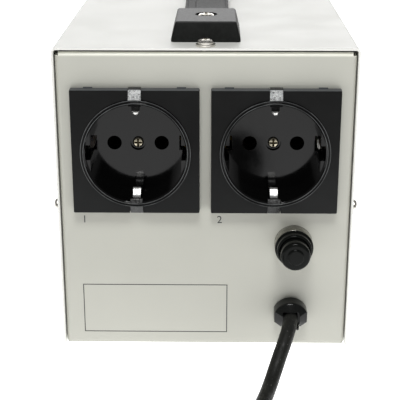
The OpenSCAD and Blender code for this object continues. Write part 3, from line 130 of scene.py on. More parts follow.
# Materials
class Surface:
    """A Principled material that varies by noise in the object's own coordinates, in metres.

    Edges and depths are given in millimetres, and a share is a socket that goes from 0 to 1.
    """

    def __init__(self, name, color, rough, **sockets):
        self.mat = bpy.data.materials.new(name)
        self.mat.use_nodes = True
        self.tree = self.mat.node_tree
        self.shader = self.tree.nodes["Principled BSDF"]
        self.color = color
        self.shader.inputs["Base Color"].default_value = (*color, 1.0)
        self.shader.inputs["Roughness"].default_value = rough
        for key, value in sockets.items():
            self.shader.inputs[key.replace("_", " ")].default_value = value
        self.place = self.tree.nodes.new("ShaderNodeTexCoord").outputs["Object"]
        self.bumped = None

    def put(self, socket, value):
        """Links a socket to another one, or sets its number."""
        if isinstance(value, bpy.types.NodeSocket):
            self.tree.links.new(value, socket)
        else:
            socket.default_value = value

    def new(self, kind, **inputs):
        node = self.tree.nodes.new("ShaderNode" + kind)
        for key, value in inputs.items():
            self.put(node.inputs[key.replace("_", " ")], value)
        return node

    def calc(self, how, a, b=0.5):
        node = self.new("Math")
        node.operation = how
        self.put(node.inputs[0], a)
        self.put(node.inputs[1], b)
        return node.outputs[0]

    def both(self, one, other):
        return self.calc("MULTIPLY", one, other)

    def rest(self, share):
        """What a share leaves of 1."""
        return self.calc("SUBTRACT", 1.0, share)

    def axis(self, name):
        return self.new("SeparateXYZ", Vector=self.place).outputs[name]

    def outlet_x(self):
        """How far out a point lies from the nearer outlet's axis."""
        return self.calc("SUBTRACT", self.calc("ABSOLUTE", self.axis("X")), OUTLET_X * MM)

    def outlet_z(self):
        return self.calc("SUBTRACT", self.axis("Z"), OUTLET_Z * MM)

    def from_outlet(self):
        """Distance from the nearer outlet's axis."""
        x, z = self.outlet_x(), self.outlet_z()
        return self.calc("SQRT", self.calc("ADD", self.both(x, x), self.both(z, z)))

    def spread(self, value, low, high, start=0.35, end=0.65):
        """Takes a value from start to end over to low and high, and no further."""
        node = self.new("MapRange", Value=value)
        for key, number in (("From Min", start), ("From Max", end), ("To Min", low), ("To Max", high)):
            node.inputs[key].default_value = number
        return node.outputs[0]

    def past(self, length, edge, soft=0.15):
        """The share that lies past an edge."""
        return self.spread(length, 0.0, 1.0, (edge - soft) * MM, (edge + soft) * MM)

    def within(self, length, edge, soft=0.15):
        """The share that lies short of an edge."""
        return self.rest(self.past(length, edge, soft))

    def stretched(self, x, y, z):
        node = self.new("Mapping", Vector=self.place)
        node.inputs["Scale"].default_value = (x, y, z)
        return node.outputs[0]

    def noise(self, scale, detail=2.0, rough=0.5, at=None):
        place = at or self.place
        return self.new("TexNoise", Vector=place, Scale=scale, Detail=detail, Roughness=rough).outputs[0]

    def tint(self, share, other):
        """Mixes the colour so far towards another one."""
        node = self.tree.nodes.new("ShaderNodeMix")
        node.data_type = "RGBA"
        base = self.shader.inputs["Base Color"]
        if base.is_linked:
            self.tree.links.new(base.links[0].from_socket, node.inputs[MIX_FROM])
        else:
            node.inputs[MIX_FROM].default_value = (*self.color, 1.0)
        node.inputs[MIX_TO].default_value = (*other, 1.0)
        self.tree.links.new(share, node.inputs[MIX_SHARE])
        self.tree.links.new(node.outputs[MIX_OUT], base)
        return self

    def mottle(self, noise, other, start=0.35, end=0.65, most=1.0):
        """Tints by noise, from none at start to the most at end."""
        return self.tint(self.spread(noise, 0.0, most, start, end), other)

    def rough(self, value):
        self.tree.links.new(value, self.shader.inputs["Roughness"])
        return self

    def uneven(self, noise, low, high):
        """Roughness that varies by noise."""
        return self.rough(self.spread(noise, low, high))

    def bump(self, height, depth):
        node = self.new("Bump", Height=height, Distance=depth * MM, Strength=1.0)
        if self.bumped:
            self.tree.links.new(self.bumped, node.inputs["Normal"])
        self.bumped = node.outputs[0]
        self.tree.links.new(self.bumped, self.shader.inputs["Normal"])
        return self


def shade(color, factor):
    return tuple(min(1.0, c * factor) for c in color)


def powder_coat(name, color):
    """Slightly cloudy paint with the fine waviness of a baked powder."""
    s = Surface(name, color, 0.46, Specular_IOR_Level=0.5)
    s.mottle(s.noise(22, 3), shade(color, 0.965))
    s.mottle(s.noise(2600, 1), shade(color, 1.05), 0.6, 0.85, most=0.5)
    s.uneven(s.noise(60, 3), 0.42, 0.52)
    s.bump(s.noise(1500, 2), 0.012).bump(s.noise(420, 1), 0.02)
    return s


def tray_paint():
    """Glossier on the panels' bend with a painted highlight there, painted shade at the rear panel's foot,
    and painted shade where the sheet runs into the cover's gap.
    """
    color = (0.52, 0.52, 0.463)
    gap_z, bend_depth, foot_h = 128.32, 1.35, 0.9
    s = powder_coat("tray_paint", color)
    bend = s.past(s.axis("Z"), gap_z - bend_depth, 0.35)
    s.rough(s.spread(s.both(bend, s.spread(s.noise(60, 3), 0.8, 1.0)), 0.47, 0.2, 0.0, 1.0))
    # painted highlight: the bend is tinted lighter than the panel
    s.tint(bend, shade(color, 1.7))
    # painted shade along the rear panel's foot
    rear = s.within(s.axis("Y"), REAR_Y + 0.5)
    s.tint(s.both(rear, s.within(s.axis("Z"), TRAY_Z + foot_h, 0.4)), shade(color, 0.45))
    # painted shade, near black, where the sheet runs out of sight into the cover's gap
    s.tint(s.past(s.axis("Z"), gap_z, 0.06), (0.03, 0.03, 0.022))
    return s


def moulded(name, color, rough, grain=0.008, spread=0.05, **sockets):
    s = Surface(name, color, rough, **sockets)
    s.mottle(s.noise(90, 3), shade(color, 1.35))
    s.uneven(s.noise(140, 3), rough - spread, rough + spread)
    return s.bump(s.noise(2400, 2), grain)


def satin(name, color, rough, specular):
    """Fine even grain, without the cloudiness that a sheen would show."""
    s = Surface(name, color, rough, Specular_IOR_Level=specular)
    s.mottle(s.noise(700, 2), shade(color, 1.4))
    s.uneven(s.noise(1500, 2), rough - 0.03, rough + 0.03)
    return s.bump(s.noise(3800, 2), 0.003)


def cord_skin():
    """Dull extruded PVC with fine specks of dust."""
    s = Surface("cord_pvc", (0.0105, 0.011, 0.0098), 0.5, Specular_IOR_Level=0.19)
    s.mottle(s.noise(260, 3), (0.014, 0.0145, 0.0125))
    s.mottle(s.noise(1300, 1), (0.10, 0.10, 0.095), 0.7, 0.74)
    s.uneven(s.noise(600, 3), 0.4, 0.62)
    return s.bump(s.noise(1100, 3, 0.7), 0.05)


def plated(name, color, other, low, high):
    s = Surface(name, color, 0.3, Metallic=1.0)
    s.mottle(s.noise(420, 3), other)
    s.uneven(s.noise(900, 3), low, high)
    return s.bump(s.noise(3200, 2), 0.006)


def outlet_polish():
    """The polished recess, whose floor mirrors the table and its own lower wall, with painted shade in its
    screw well.
    """
    s = Surface("outlet_polish", (0.0016, 0.0017, 0.0017), 0.1, Specular_IOR_Level=0.28)
    s.mottle(s.noise(90, 3), (0.0024, 0.0025, 0.0025))
    screw_well = s.both(s.within(s.from_outlet(), 3.3), s.past(s.axis("Y"), CUP_FLOOR_Y, 0.1))
    # painted shade: the moulding is darker deep in the screw well
    s.tint(screw_well, (0.0006, 0.0006, 0.0006))
    s.uneven(s.noise(300, 2), 0.08, 0.115)
    return s.bump(s.noise(2800, 2), 0.001)


def outlet_plastic():
    """Satin on the plate, polished and black on the rim, with painted light towards the plate's foot, a
    painted highlight on the edge that faces up and painted highlights on the rim's bead crests.
    """
    s = Surface("outlet_plastic", (0.0015, 0.0016, 0.0016), 0.4, Specular_IOR_Level=0.135)
    s.mottle(s.noise(60, 3), (0.003, 0.0032, 0.0032))
    # painted light: the plate is tinted lighter towards its foot
    painted_low_light = s.spread(s.axis("Z"), 1.0, 0.0, (OUTLET_Z - 22) * MM, (OUTLET_Z + 6) * MM)
    s.tint(painted_low_light, (0.0105, 0.011, 0.011))
    # painted highlight along the plate's upper edge
    s.tint(s.past(s.axis("Z"), PLATE_EDGE_Z, 0.12), (0.085, 0.09, 0.095))
    far = s.from_outlet()
    rim = s.within(far, 21.7)
    s.tint(rim, (0.0012, 0.0013, 0.0013))
    from_middle = s.calc("ABSOLUTE", s.calc("SUBTRACT", far, RIM_R * MM))
    from_bead = s.calc("ABSOLUTE", s.calc("SUBTRACT", from_middle, RIM_BEAD * MM))
    # painted highlights along the crests of the rim's two beads, broken up by noise
    crest_highlight = s.both(s.within(from_bead, 0.12, 0.1), s.within(s.axis("Y"), -94.24, 0.05))
    s.tint(s.both(crest_highlight, s.spread(s.noise(130, 3), 0.35, 1.0)), (0.11, 0.115, 0.115))
    plate_rough = s.spread(s.noise(160, 3), 0.33, 0.43)
    rim_rough = s.spread(s.noise(300, 2), 0.05, 0.09)
    s.rough(s.calc("ADD", s.both(plate_rough, s.rest(rim)), s.both(rim_rough, rim)))
    return s.bump(s.noise(2800, 2), 0.005)


def earth_metal():
    """Rolled and speckled in front, with painted shade where it folds over the edges and behind the rims,
    and plain and bright where it springs in.
    """
    s = Surface("earth_metal", (0.92, 0.93, 0.92), 0.34, Metallic=0.85)
    s.mottle(s.noise(1700, 2, 0.7), (0.58, 0.60, 0.60), 0.42, 0.6)
    far = s.from_outlet()
    low = s.within(s.axis("Z"), OUTLET_Z)
    # painted shade over the plate's upper edge, by and behind the rims and over the lower edge
    s.tint(s.past(s.axis("Z"), PLATE_EDGE_Z, 0.1), (0.07, 0.07, 0.07))
    s.tint(s.both(low, s.past(far, 17.9, 0.4)), (0.05, 0.05, 0.05))
    s.tint(s.both(low, s.past(far, 19.0)), (0.004, 0.004, 0.004))
    s.tint(s.both(low, s.past(far, 21.3)), (0.065, 0.066, 0.066))
    s.tint(s.both(s.rest(low), s.within(far, 21.2)), (0.004, 0.004, 0.004))
    # the lower spring: plain metal in its middle, and painted shade on its stem deep in the recess, on its
    # tip in front and on its sides
    spring = s.both(low, s.within(far, 17.6))
    s.tint(spring, (0.82, 0.82, 0.80))
    s.tint(s.both(spring, s.past(s.axis("Y"), -85.2, 0.25)), (0.04, 0.04, 0.04))
    s.tint(s.both(spring, s.within(s.axis("Y"), -89.8, 0.4)), (0.26, 0.25, 0.24))
    s.tint(s.both(spring, s.past(s.calc("ABSOLUTE", s.outlet_x()), 1.6, 0.12)), (0.12, 0.12, 0.12))
    dimple = s.within(far, 15.9)
    s.tint(dimple, (0.9, 0.9, 0.88))
    s.uneven(s.noise(1300, 2), 0.26, 0.5)
    return s.bump(s.noise(1500, 2, 0.7), 0.03)


def zinc_plate():
    """Zinc, toned to brass on the screws in the outlets, with painted shade in their cross slots."""
    s = plated("zinc", (0.80, 0.77, 0.70), (0.64, 0.62, 0.58), 0.18, 0.34)
    far = s.from_outlet()
    s.tint(s.within(far, 3.2), (0.60, 0.55, 0.42))
    x, z = s.calc("ABSOLUTE", s.outlet_x()), s.calc("ABSOLUTE", s.outlet_z())
    slots = s.within(s.calc("MINIMUM", x, z), 0.46, 0.1)
    # painted shade in the screws' cross slots
    return s.tint(s.both(slots, s.within(far, 1.65)), (0.022, 0.017, 0.009))


def woven():
    s = Surface("tie_fabric", (0.02, 0.02, 0.02), 0.85, Sheen_Weight=0.4, Sheen_Roughness=0.5)
    s.mottle(s.noise(2400, 3), (0.045, 0.045, 0.045))
    return s.bump(s.noise(1800, 3, 0.7), 0.12)


def laminations():
    """Thin plates stacked along Y that show as fine lines, with a little rust."""
    s = Surface("laminations", (0.17, 0.15, 0.14), 0.55, Metallic=0.7)
    lines = s.noise(900, 1, at=s.stretched(0.02, 1.0, 0.02))
    s.mottle(lines, (0.08, 0.07, 0.065))
    s.mottle(s.noise(55, 3), (0.2, 0.12, 0.07), 0.55, 0.75, most=0.5)
    return s.bump(lines, 0.06)


def board():
    """Green mask over raised tracks."""
    s = Surface("board_mask", (0.02, 0.16, 0.05), 0.35, Coat_Weight=0.4)
    tracks = s.noise(260, 1, at=s.stretched(1, 0.3, 1))
    s.mottle(tracks, (0.03, 0.24, 0.08), 0.5, 0.53)
    s.uneven(s.noise(200, 2), 0.28, 0.42)
    return s.bump(tracks, 0.03)


def clear(name, color, rough, through):
    s = Surface(name, color, rough, Transmission_Weight=through, IOR=1.49)
    s.uneven(s.noise(200, 2), rough, rough + 0.05)
    return s.bump(s.noise(700, 1), 0.004)


SLOTS = {
    "tray_paint": tray_paint(),
    "cover_paint": powder_coat("cover_paint", (0.84, 0.84, 0.80)),
    "zinc": zinc_plate(),
    "foot_rubber": moulded("foot_rubber", (0.018, 0.018, 0.018), 0.7, 0.03),
    "cap_plastic": satin("cap_plastic", (0.0115, 0.0121, 0.0115), 0.4, 0.14),
    "strap_vinyl": satin("strap_vinyl", (0.009, 0.0095, 0.009), 0.44, 0.068),
    "outlet_plastic": outlet_plastic(),
    "carrier_plastic": moulded("carrier_plastic", (0.008, 0.008, 0.008), 0.5, Specular_IOR_Level=0.2),
    "nickel": earth_metal(),
    # the contacts' brass is painted near black: painted shade, as they lie deep behind the pin holes
    "contact_brass": plated("contact_brass", (0.012, 0.009, 0.006), (0.008, 0.006, 0.004), 0.5, 0.65),
    "black_plastic": moulded(
        "black_plastic", (0.006, 0.0065, 0.006), 0.13, 0.004, 0.03, Specular_IOR_Level=0.26
    ),
    "button_plastic": moulded(
        "button_plastic", (0.0045, 0.005, 0.0045), 0.1, 0.003, 0.02, Specular_IOR_Level=0.09
    ),
    "cord_pvc": cord_skin(),
    "tie_fabric": woven(),
    "plug_pvc": moulded("plug_pvc", (0.012, 0.012, 0.012), 0.45, 0.03),
    "window_tint": clear("window_tint", (0.10, 0.012, 0.012), 0.04, 0.9),
    "module_plastic": moulded("module_plastic", (0.03, 0.03, 0.03), 0.5),
    "lamp_lens": clear("lamp_lens", (0.25, 0.7, 0.25), 0.15, 0.6),
    "board_laminate": board(),
    "rocker_plastic": moulded("rocker_plastic", (0.42, 0.012, 0.012), 0.22, 0.006, 0.04),
    "delay_plastic": moulded("delay_plastic", (0.02, 0.2, 0.05), 0.22, 0.006, 0.04),
    "core_iron": laminations(),
    "winding_tape": moulded("winding_tape", (0.13, 0.085, 0.02), 0.45, 0.03),
    "bracket_steel": plated("bracket_steel", (0.62, 0.62, 0.6), (0.5, 0.5, 0.5), 0.3, 0.45),
    "relay_plastic": moulded("relay_plastic", (0.03, 0.12, 0.5), 0.35),
    "can_sleeve": moulded("can_sleeve", (0.02, 0.02, 0.12), 0.25),
    "terminal_plastic": moulded("terminal_plastic", (0.03, 0.25, 0.07), 0.45),
}
RING_METAL = plated("ring_metal", (0.36, 0.35, 0.31), (0.28, 0.275, 0.25), 0.16, 0.28)
POLISH = outlet_polish()
PLUG_METAL = plated("plug_metal", (0.72, 0.70, 0.66), (0.60, 0.58, 0.54), 0.15, 0.28)
PRINT = moulded("print_ink", (0.03, 0.03, 0.03), 0.55, 0.004)
WHITE_PRINT = moulded("white_ink", (0.8, 0.8, 0.78), 0.5, 0.004)
SEGMENT = moulded("segment", (0.09, 0.08, 0.08), 0.4, 0.004)
OWN_FINISH = {
    "socket_cup_left": POLISH,
    "socket_cup_right": POLISH,
    "plug_pins": PLUG_METAL,
    "plug_earth_clips": PLUG_METAL,
}

for node, slot in SLOT_OF.items():
    materials = NODES[node].data.materials
    materials.clear()
    materials.append(OWN_FINISH.get(node, SLOTS[slot]).mat)


# Mesh helpers, in millimetres and degrees
def finished(obj, surface, body="case", smooth=True, sharp=None):
    """Gives a piece its material, its shading and the body that it rides on."""
    obj.data.materials.clear()
    obj.data.materials.append(surface.mat)
    if smooth and obj.type == "MESH":
        obj.data.shade_smooth()
    if sharp:
        obj.data.set_sharp_from_angle(angle=math.radians(sharp))
    if body:
        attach(obj, body)
    return obj


def mesh_piece(name, points, faces):
    """A mesh from points in the row frame."""
    mesh = bpy.data.meshes.new(name)
    mesh.from_pydata([Vector(p) * MM for p in points], [], faces)
    bm = bmesh.new()
    bm.from_mesh(mesh)
    bmesh.ops.recalc_face_normals(bm, faces=bm.faces)
    bm.to_mesh(mesh)
    bm.free()
    return linked(name, mesh)


def lofted(name, rings, loop=False):
    """Joins rings of equal length: the last to the first in a loop, or with a cap at each end."""
    n, m = len(rings[0]), len(rings)
    points = [p for ring in rings for p in ring]
    faces = [
        (i * n + k, i * n + (k + 1) % n, (i + 1) % m * n + (k + 1) % n, (i + 1) % m * n + k)
        for i in range(m if loop else m - 1)
        for k in range(n)
    ]
    if not loop:
        faces += [tuple(range(n)), tuple(range(len(points) - n, len(points)))]
    return mesh_piece(name, points, faces)


def arc(cx, cy, rx, ry, start, end, steps):
    """Points on part of an ellipse, with both of its ends."""
    turns = [math.radians(start + (end - start) * k / steps) for k in range(steps + 1)]
    return [(cx + rx * math.cos(a), cy + ry * math.sin(a)) for a in turns]


def smoothed(points, steps):
    """A Catmull-Rom curve through points."""
    out = []
    for i in range(len(points) - 1):
        a, b = points[max(i - 1, 0)], points[i]
        c, d = points[i + 1], points[min(i + 2, len(points) - 1)]
        for k in range(steps):
            t = k / steps
            square, cube = 2 * a - 5 * b + 4 * c - d, 3 * b - a - 3 * c + d
            out.append(0.5 * ((2 * b) + (c - a) * t + square * t * t + cube * t**3))
    return out + [points[-1]]


def baked(obj):
    """Applies an object's modifiers."""
    graph = bpy.context.evaluated_depsgraph_get()
    mesh = bpy.data.meshes.new_from_object(obj.evaluated_get(graph))
    obj.modifiers.clear()
    old, obj.data = obj.data, mesh
    bpy.data.meshes.remove(old)
    return obj


def cut(obj, cutters):
    for cutter in cutters:
        modifier = obj.modifiers.new("cut", "BOOLEAN")
        modifier.operation = "DIFFERENCE"
        modifier.object = cutter
        modifier.solver = "EXACT"
    baked(obj)
    for cutter in cutters:
        bpy.data.objects.remove(cutter)
    return obj


def rounded(obj, radius):
    """Rounds an object's edges, and lets the large faces set the normals, so that they look flat."""
    bevel = obj.modifiers.new("round", "BEVEL")
    bevel.width = radius * MM
    bevel.segments = 3
    bevel.limit_method = "ANGLE"
    bevel.angle_limit = math.radians(30)
    bevel.use_clamp_overlap = True
    obj.data.shade_smooth()
    obj.modifiers.new("even", "WEIGHTED_NORMAL").keep_sharp = True
    return baked(obj)


def eased(node):
    """A copy of a CAD node with its edges rounded over, in the node's place."""
    mesh = NODES[node].data.copy()
    bm = bmesh.new()
    bm.from_mesh(mesh)
    bmesh.ops.remove_doubles(bm, verts=bm.verts, dist=0.002 * MM)
    bmesh.ops.dissolve_limit(bm, angle_limit=math.radians(1.0), verts=bm.verts, edges=bm.edges)
    bm.to_mesh(mesh)
    bm.free()
    obj = rounded(linked(node + "_eased", mesh), EDGE_R)
    finished(obj, SLOTS[SLOT_OF[node]], smooth=False)
    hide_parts(node)


# Cord, coil and plug
def lead_points():
    """The route from the bushing to the coil, down by shares of the drop and up by shares of the lift."""
    x, y, z = CORD_START
    drop, lift = z - LEAD_LOW, COIL_LOW - LEAD_LOW
    return [
        Vector((x + dx, y - dy, LEAD_LOW + down * drop + up * lift))
        for (dx, dy), (down, up) in zip(LEAD_STEPS, LEAD_SHARES)
    ]


def coil_place(turns):
    """The cord's axis in the coil: it winds in on the table, steps up, and winds out on top of itself."""
    half, rise_turns = COIL_TURNS / 2, 0.5
    f = min(max((turns - half + rise_turns / 2) / rise_turns, 0.0), 1.0)
    r = COIL_R - COIL_STEP * (half - abs(turns - half))
    a = -2 * math.pi * turns
    z = COIL_LOW + COIL_RISE * f * f * (3 - 2 * f)
    return Vector((COIL_X + r * math.cos(a), COIL_Y + r * math.sin(a), z))


def plug_frame():
    """Turns the plug's own frame, along z from the lead's end to the pins, into the row frame."""
    above_table = 0.05
    z0, r, seat = PLUG_END.z - above_table, PLUG_D / 2, PLUG_L - PLUG_FACE_L
    tilt = math.acos(z0 / math.hypot(r, seat)) - math.atan2(seat, r)
    return Matrix.Translation(PLUG_END) @ Matrix.Rotation(math.pi / 2 - tilt, 4, "X"), tilt


def cord_points():
    _, tilt = plug_frame()
    along = Vector((0, -math.cos(tilt), math.sin(tilt)))
    per_turn = 36
    coil = [coil_place(i / per_turn) for i in range(COIL_TURNS * per_turn + 1)]
    tail = [PLUG_END + Vector((0, TAIL_L * s, 0)) for s in (1.0, 0.75, 0.5)]
    tail += [PLUG_END - along * TAIL_L / 4, PLUG_END, PLUG_END + along * 2]
    return smoothed(lead_points(), 4) + coil + smoothed(tail, 3)


def add_cord(points):
    curve = bpy.data.curves.new("supply_cord", "CURVE")
    curve.dimensions = "3D"
    curve.bevel_depth = CORD_D / 2 * MM
    curve.bevel_resolution = 6
    curve.use_fill_caps = True
    spline = curve.splines.new("POLY")
    spline.points.add(len(points) - 1)
    for target, p in zip(spline.points, points):
        target.co = (*(p * MM), 1.0)
    spline.use_smooth = True
    cord = finished(linked("supply_cord", curve), SLOTS["cord_pvc"])
    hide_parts("mains_cord", "cord_coil", "cord_tail")
    return cord


def add_tie():
    """A band round the coil's turns, on the side away from the plug."""
    gap, wall, corner, low = 0.3, 0.5, 1.6, 0.5
    # the band's width and thickness, as places across it and how deep they lie under its outside
    section = [(-3, 0.1), (-2.6, 0.0), (0, 0.0), (2.6, 0.0), (3, 0.1), (3, 0.4), (0, 0.45), (-3, 0.4)]
    in_r = COIL_R - COIL_STEP * COIL_TURNS / 2 - CORD_D / 2 - gap
    out_r = COIL_R - COIL_STEP / 2 + CORD_D / 2 + gap
    top = COIL_LOW + COIL_RISE + CORD_D / 2 + gap
    cx, cz = COIL_X - (in_r + out_r) / 2, (top + low) / 2
    w, h = (out_r - in_r) / 2 + wall, (top - low) / 2 + wall
    loop = []
    for sx, sz, start in ((1, 1, 0), (-1, 1, 90), (-1, -1, 180), (1, -1, 270)):
        loop += arc(sx * (w - corner), sz * (h - corner), corner, corner, start, start + 90, 6)
    rings = []
    for x, z in loop + loop[:1]:
        far = math.hypot(x, z)
        rings.append([(cx + x - x / far * deep, COIL_Y + y, cz + z - z / far * deep) for y, deep in section])
    tie = finished(lofted("coil_band", rings), SLOTS["tie_fabric"])
    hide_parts("coil_tie")
    return tie


def plug_cutter(place, x0, x1, y0, y1, z0, z1):
    corners = [place @ Vector((x, y, z)) for x in (x0, x1) for y in (y0, y1) for z in (z0, z1)]
    sides = [(0, 1, 3, 2), (4, 6, 7, 5), (0, 4, 5, 1), (2, 3, 7, 6), (0, 2, 6, 4), (1, 5, 7, 3)]
    return mesh_piece("cutter", corners, sides)


def add_plug():
    """A round plug with a grooved relief, a ribbed grip and slots at its rim for earth and guides."""
    place, _ = plug_frame()
    # radius and reach from the lead's end
    profile = [Vector(p) for p in (
        (3.0, 0.0), (4.2, 0.3), (4.6, 6), (5.1, 14), (5.6, 22), (6.8, 24), (9.4, 25.2), (10.2, 27.5),
        (10.3, 33), (10.6, 38), (11.8, 42), (14.2, 47), (17.2, 50.6), (18.3, 52.4), (18.5, 54),
        (18.5, 60.6), (18.1, 61.6), (17.2, 62.0),
    )]
    groove_from, groove_to, groove_pitch, groove_deep = 3, 21, 3.2, 0.55
    grip_from, grip_to, grip_ribs, rib_deep = 27, 41, 24, 0.35
    face_r = 0.8
    rows = []
    for q in smoothed(profile, 4):
        grooved = groove_from < q.y < groove_to and math.sin(q.y * 2 * math.pi / groove_pitch) > 0.2
        rows.append((q.x - (groove_deep if grooved else 0.0), q.y))
    rows.append((face_r, PLUG_L))
    sides = 72
    rings = []
    for radius, z in rows:
        ring = []
        for k in range(sides):
            a = 2 * math.pi * k / sides
            rib = rib_deep * max(0.0, math.cos(grip_ribs * a)) if grip_from < z < grip_to else 0.0
            ring.append(place @ Vector(((radius - rib) * math.cos(a), (radius - rib) * math.sin(a), z)))
        rings.append(ring)
    body = lofted("plug_moulding", rings)
    r, seat, half, over = PLUG_D / 2, PLUG_L - PLUG_FACE_L, 2.8, 9
    cutters = []
    for s in (-1, 1):
        x0, x1 = sorted((s * (r - 2.6), s * (r + over)))
        cutters.append(plug_cutter(place, x0, x1, -half, half, seat, PLUG_L + over))
        y0, y1 = sorted((s * (r - 3.0), s * (r + over)))
        cutters.append(plug_cutter(place, -half, half, y0, y1, seat + 0.8, PLUG_L + over))
    finished(cut(body, cutters), SLOTS["plug_pvc"], sharp=35)
    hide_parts("plug_body")
    return body


route = cord_points()
cord = add_cord(route)
tie = add_tie()
plug = add_plug()


# Strap
STRAP_LOW, STRAP_MID = TOP_Z + 3.8, 1.2
STRAP_RISE, STRAP_STEPS = 2.5, 48
HELD_IN, SLOT_IN, SLOT_OUT, SLOT_R = 5.2, 13.7, 18.5, 6.0
# a flat underside with soft edges, and two ridges along the upper side, as x and height
STRAP_SECTION = [
    (-9.2, 0.6), (-8.7, 0.1), (-8.0, 0.0), (0, 0.0), (8.0, 0.0), (8.7, 0.1), (9.2, 0.6),
    (9.2, 1.7), (8.9, 2.2), (8.4, 2.38), (8.2, 2.36), (8.1, 2.1), (7.8, 2.1), (7.7, 2.36), (7.2, 2.4),
    (3.0, 2.4), (-3.6, 2.4), (-4.2, 2.4), (-4.35, 2.36), (-4.5, 2.05), (-4.9, 2.05), (-5.05, 2.36),
    (-5.2, 2.4), (-7.4, 2.4), (-7.8, 2.36), (-7.9, 2.15), (-8.1, 2.15), (-8.2, 2.36), (-8.5, 2.36),
    (-8.9, 2.2), (-9.2, 1.7),
]


def strap_ring(i, y):
    """The strap's section at y, the i-th from its held end, where it is pinched."""
    f = min(max((y - SPAN_REAR_Y) / (SPAN_FRONT_Y - SPAN_REAR_Y), 0.0), 1.0)
    rise = STRAP_RISE * (1 - math.cos(2 * math.pi * f)) / 2
    wide = 1.0 if i > 1 else (0.93, 0.985)[i]
    thick = 0.8 if i == 0 else 1.0
    return [(x * wide, y, STRAP_LOW + rise + (z - STRAP_MID) * thick + STRAP_MID) for x, z in STRAP_SECTION]


def add_strap_half(name, cap_y, sign):
    """Half of the handle's strap: its cap holds it, and it rises with the middle."""
    start, end = cap_y + sign * HELD_IN, 5.0
    rings = [strap_ring(i, start + (end - start) * i / STRAP_STEPS) for i in range(STRAP_STEPS + 1)]
    half = lofted(name, rings)
    turn = 0 if sign > 0 else 180
    hole = arc(0, cap_y + sign * SLOT_OUT, SLOT_R, SLOT_R, turn, turn + 180, 12)
    hole += arc(0, cap_y + sign * SLOT_IN, SLOT_R, SLOT_R, 180 - turn, 360 - turn, 12)
    cut(half, [lofted("cutter", [[(x, y, z) for x, y in hole] for z in (STRAP_LOW - 3, STRAP_LOW + 9)])])
    finished(half, SLOTS["strap_vinyl"], body=None, sharp=50)
    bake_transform(half)
    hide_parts("handle_strap")


add_strap_half("strap_rear", CAP_REAR_Y, 1)
add_strap_half("strap_front", CAP_FRONT_Y, -1)


# Outlets
def add_outlet_rim(side, cx):
    """The raised rim round a recess, with its two beads, passing in front of the earth strips."""
    steps, strip_half, inner_r = 144, 2.9, 20.5
    rings = []
    for k in range(steps):
        a = 2 * math.pi * k / steps
        over_strip = abs(math.sin(a)) > 0.9 and abs(inner_r * math.cos(a)) < strip_half
        seat = RIM_OVER_STRIP if over_strip else RIM_SEAT
        profile = [(20.14, 4.11)] + arc(RIM_R - RIM_BEAD + 0.02, 4.2, 0.31, 0.315, 171, 7, 5)
        profile += [(20.82, 4.14), (21.08, 4.14)]
        profile += arc(RIM_R + RIM_BEAD - 0.01, 4.1, 0.23, 0.24, 156, 0, 4)
        profile += [(RIM_OUT_R, seat), (20.8, seat), (20.7, 4.115), (20.4, 4.11)]
        rings.append([(cx + r * math.cos(a), REAR_Y - h, OUTLET_Z + r * math.sin(a)) for r, h in profile])
    finished(lofted("outlet_rim_" + side, rings, loop=True), SLOTS["outlet_plastic"])


def add_dimple(side, cx):
    """The bright boss pressed into an upper earth spring, where a plug's contact touches it."""
    y, top, drop, wide, deep, blunt, steps = -88.0, 15.5, 1.35, 1.3, 1.15, 0.02, 32
    turns = [2 * math.pi * k / steps for k in range(steps)]
    rings = []
    for u in (0.0, 0.08, 0.25, 0.5, 0.75, 0.92, 1.0):
        q = math.sqrt(1 - u * u) * (1 - blunt) + blunt
        z = OUTLET_Z + top - drop * u
        rings.append([(cx + wide * q * math.cos(a), y + deep * q * math.sin(a), z) for a in turns])
    finished(lofted("earth_dimple_" + side, rings), SLOTS["nickel"])


# Breaker and bushing
def turned(profile):
    """Rings round the breaker's axis, from radii and heights over the rear panel."""
    steps = 96
    turns = [2 * math.pi * k / steps for k in range(steps)]
    return [
        [(BREAKER_X + r * math.cos(a), REAR_Y - h, BREAKER_Z + r * math.sin(a)) for a in turns]
        for r, h in profile
    ]


def add_breaker():
    """A plated sleeve, a collar with a round shoulder, and a button with a raised middle."""
    inner = 6.25
    sleeve = [(inner, 0.0), (7.66, 0.0), (7.7, 0.1), (7.7, 5.45), (7.66, 5.56), (7.6, 5.6), (inner, 5.6)]
    finished(lofted("breaker_sleeve", turned(sleeve), loop=True), RING_METAL, sharp=50)
    collar = [(6.02, 5.62), (7.64, 5.62), (7.68, 5.7), (7.66, 5.92), (7.3, 6.1), (7.04, 6.22), (7.0, 6.4)]
    collar += arc(6.25, 8.75, 0.75, 0.85, 0, 90, 6) + [(6.1, 9.55), (6.02, 9.4)]
    ring = lofted("breaker_collar", turned(collar), loop=True)
    finished(ring, SLOTS["button_plastic"], sharp=50)
    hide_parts("breaker_ring")
    button = [(0.01, -12.0), (3.5, -12.0), (3.5, 4.2), (5.8, 4.2), (5.85, 4.3)]
    button += arc(4.5, 14.02, 1.35, 1.32, 0, 90, 7) + [(3.6, 15.3), (3.38, 15.32), (3.28, 15.42)]
    button += arc(2.6, 15.4, 0.66, 0.48, 22, 90, 3) + [(1.2, 15.9), (0.01, 15.9)]
    cap = lofted("button_cap", turned(button))
    finished(cap, SLOTS["button_plastic"], body="reset_button", sharp=50)
    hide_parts("breaker_button")


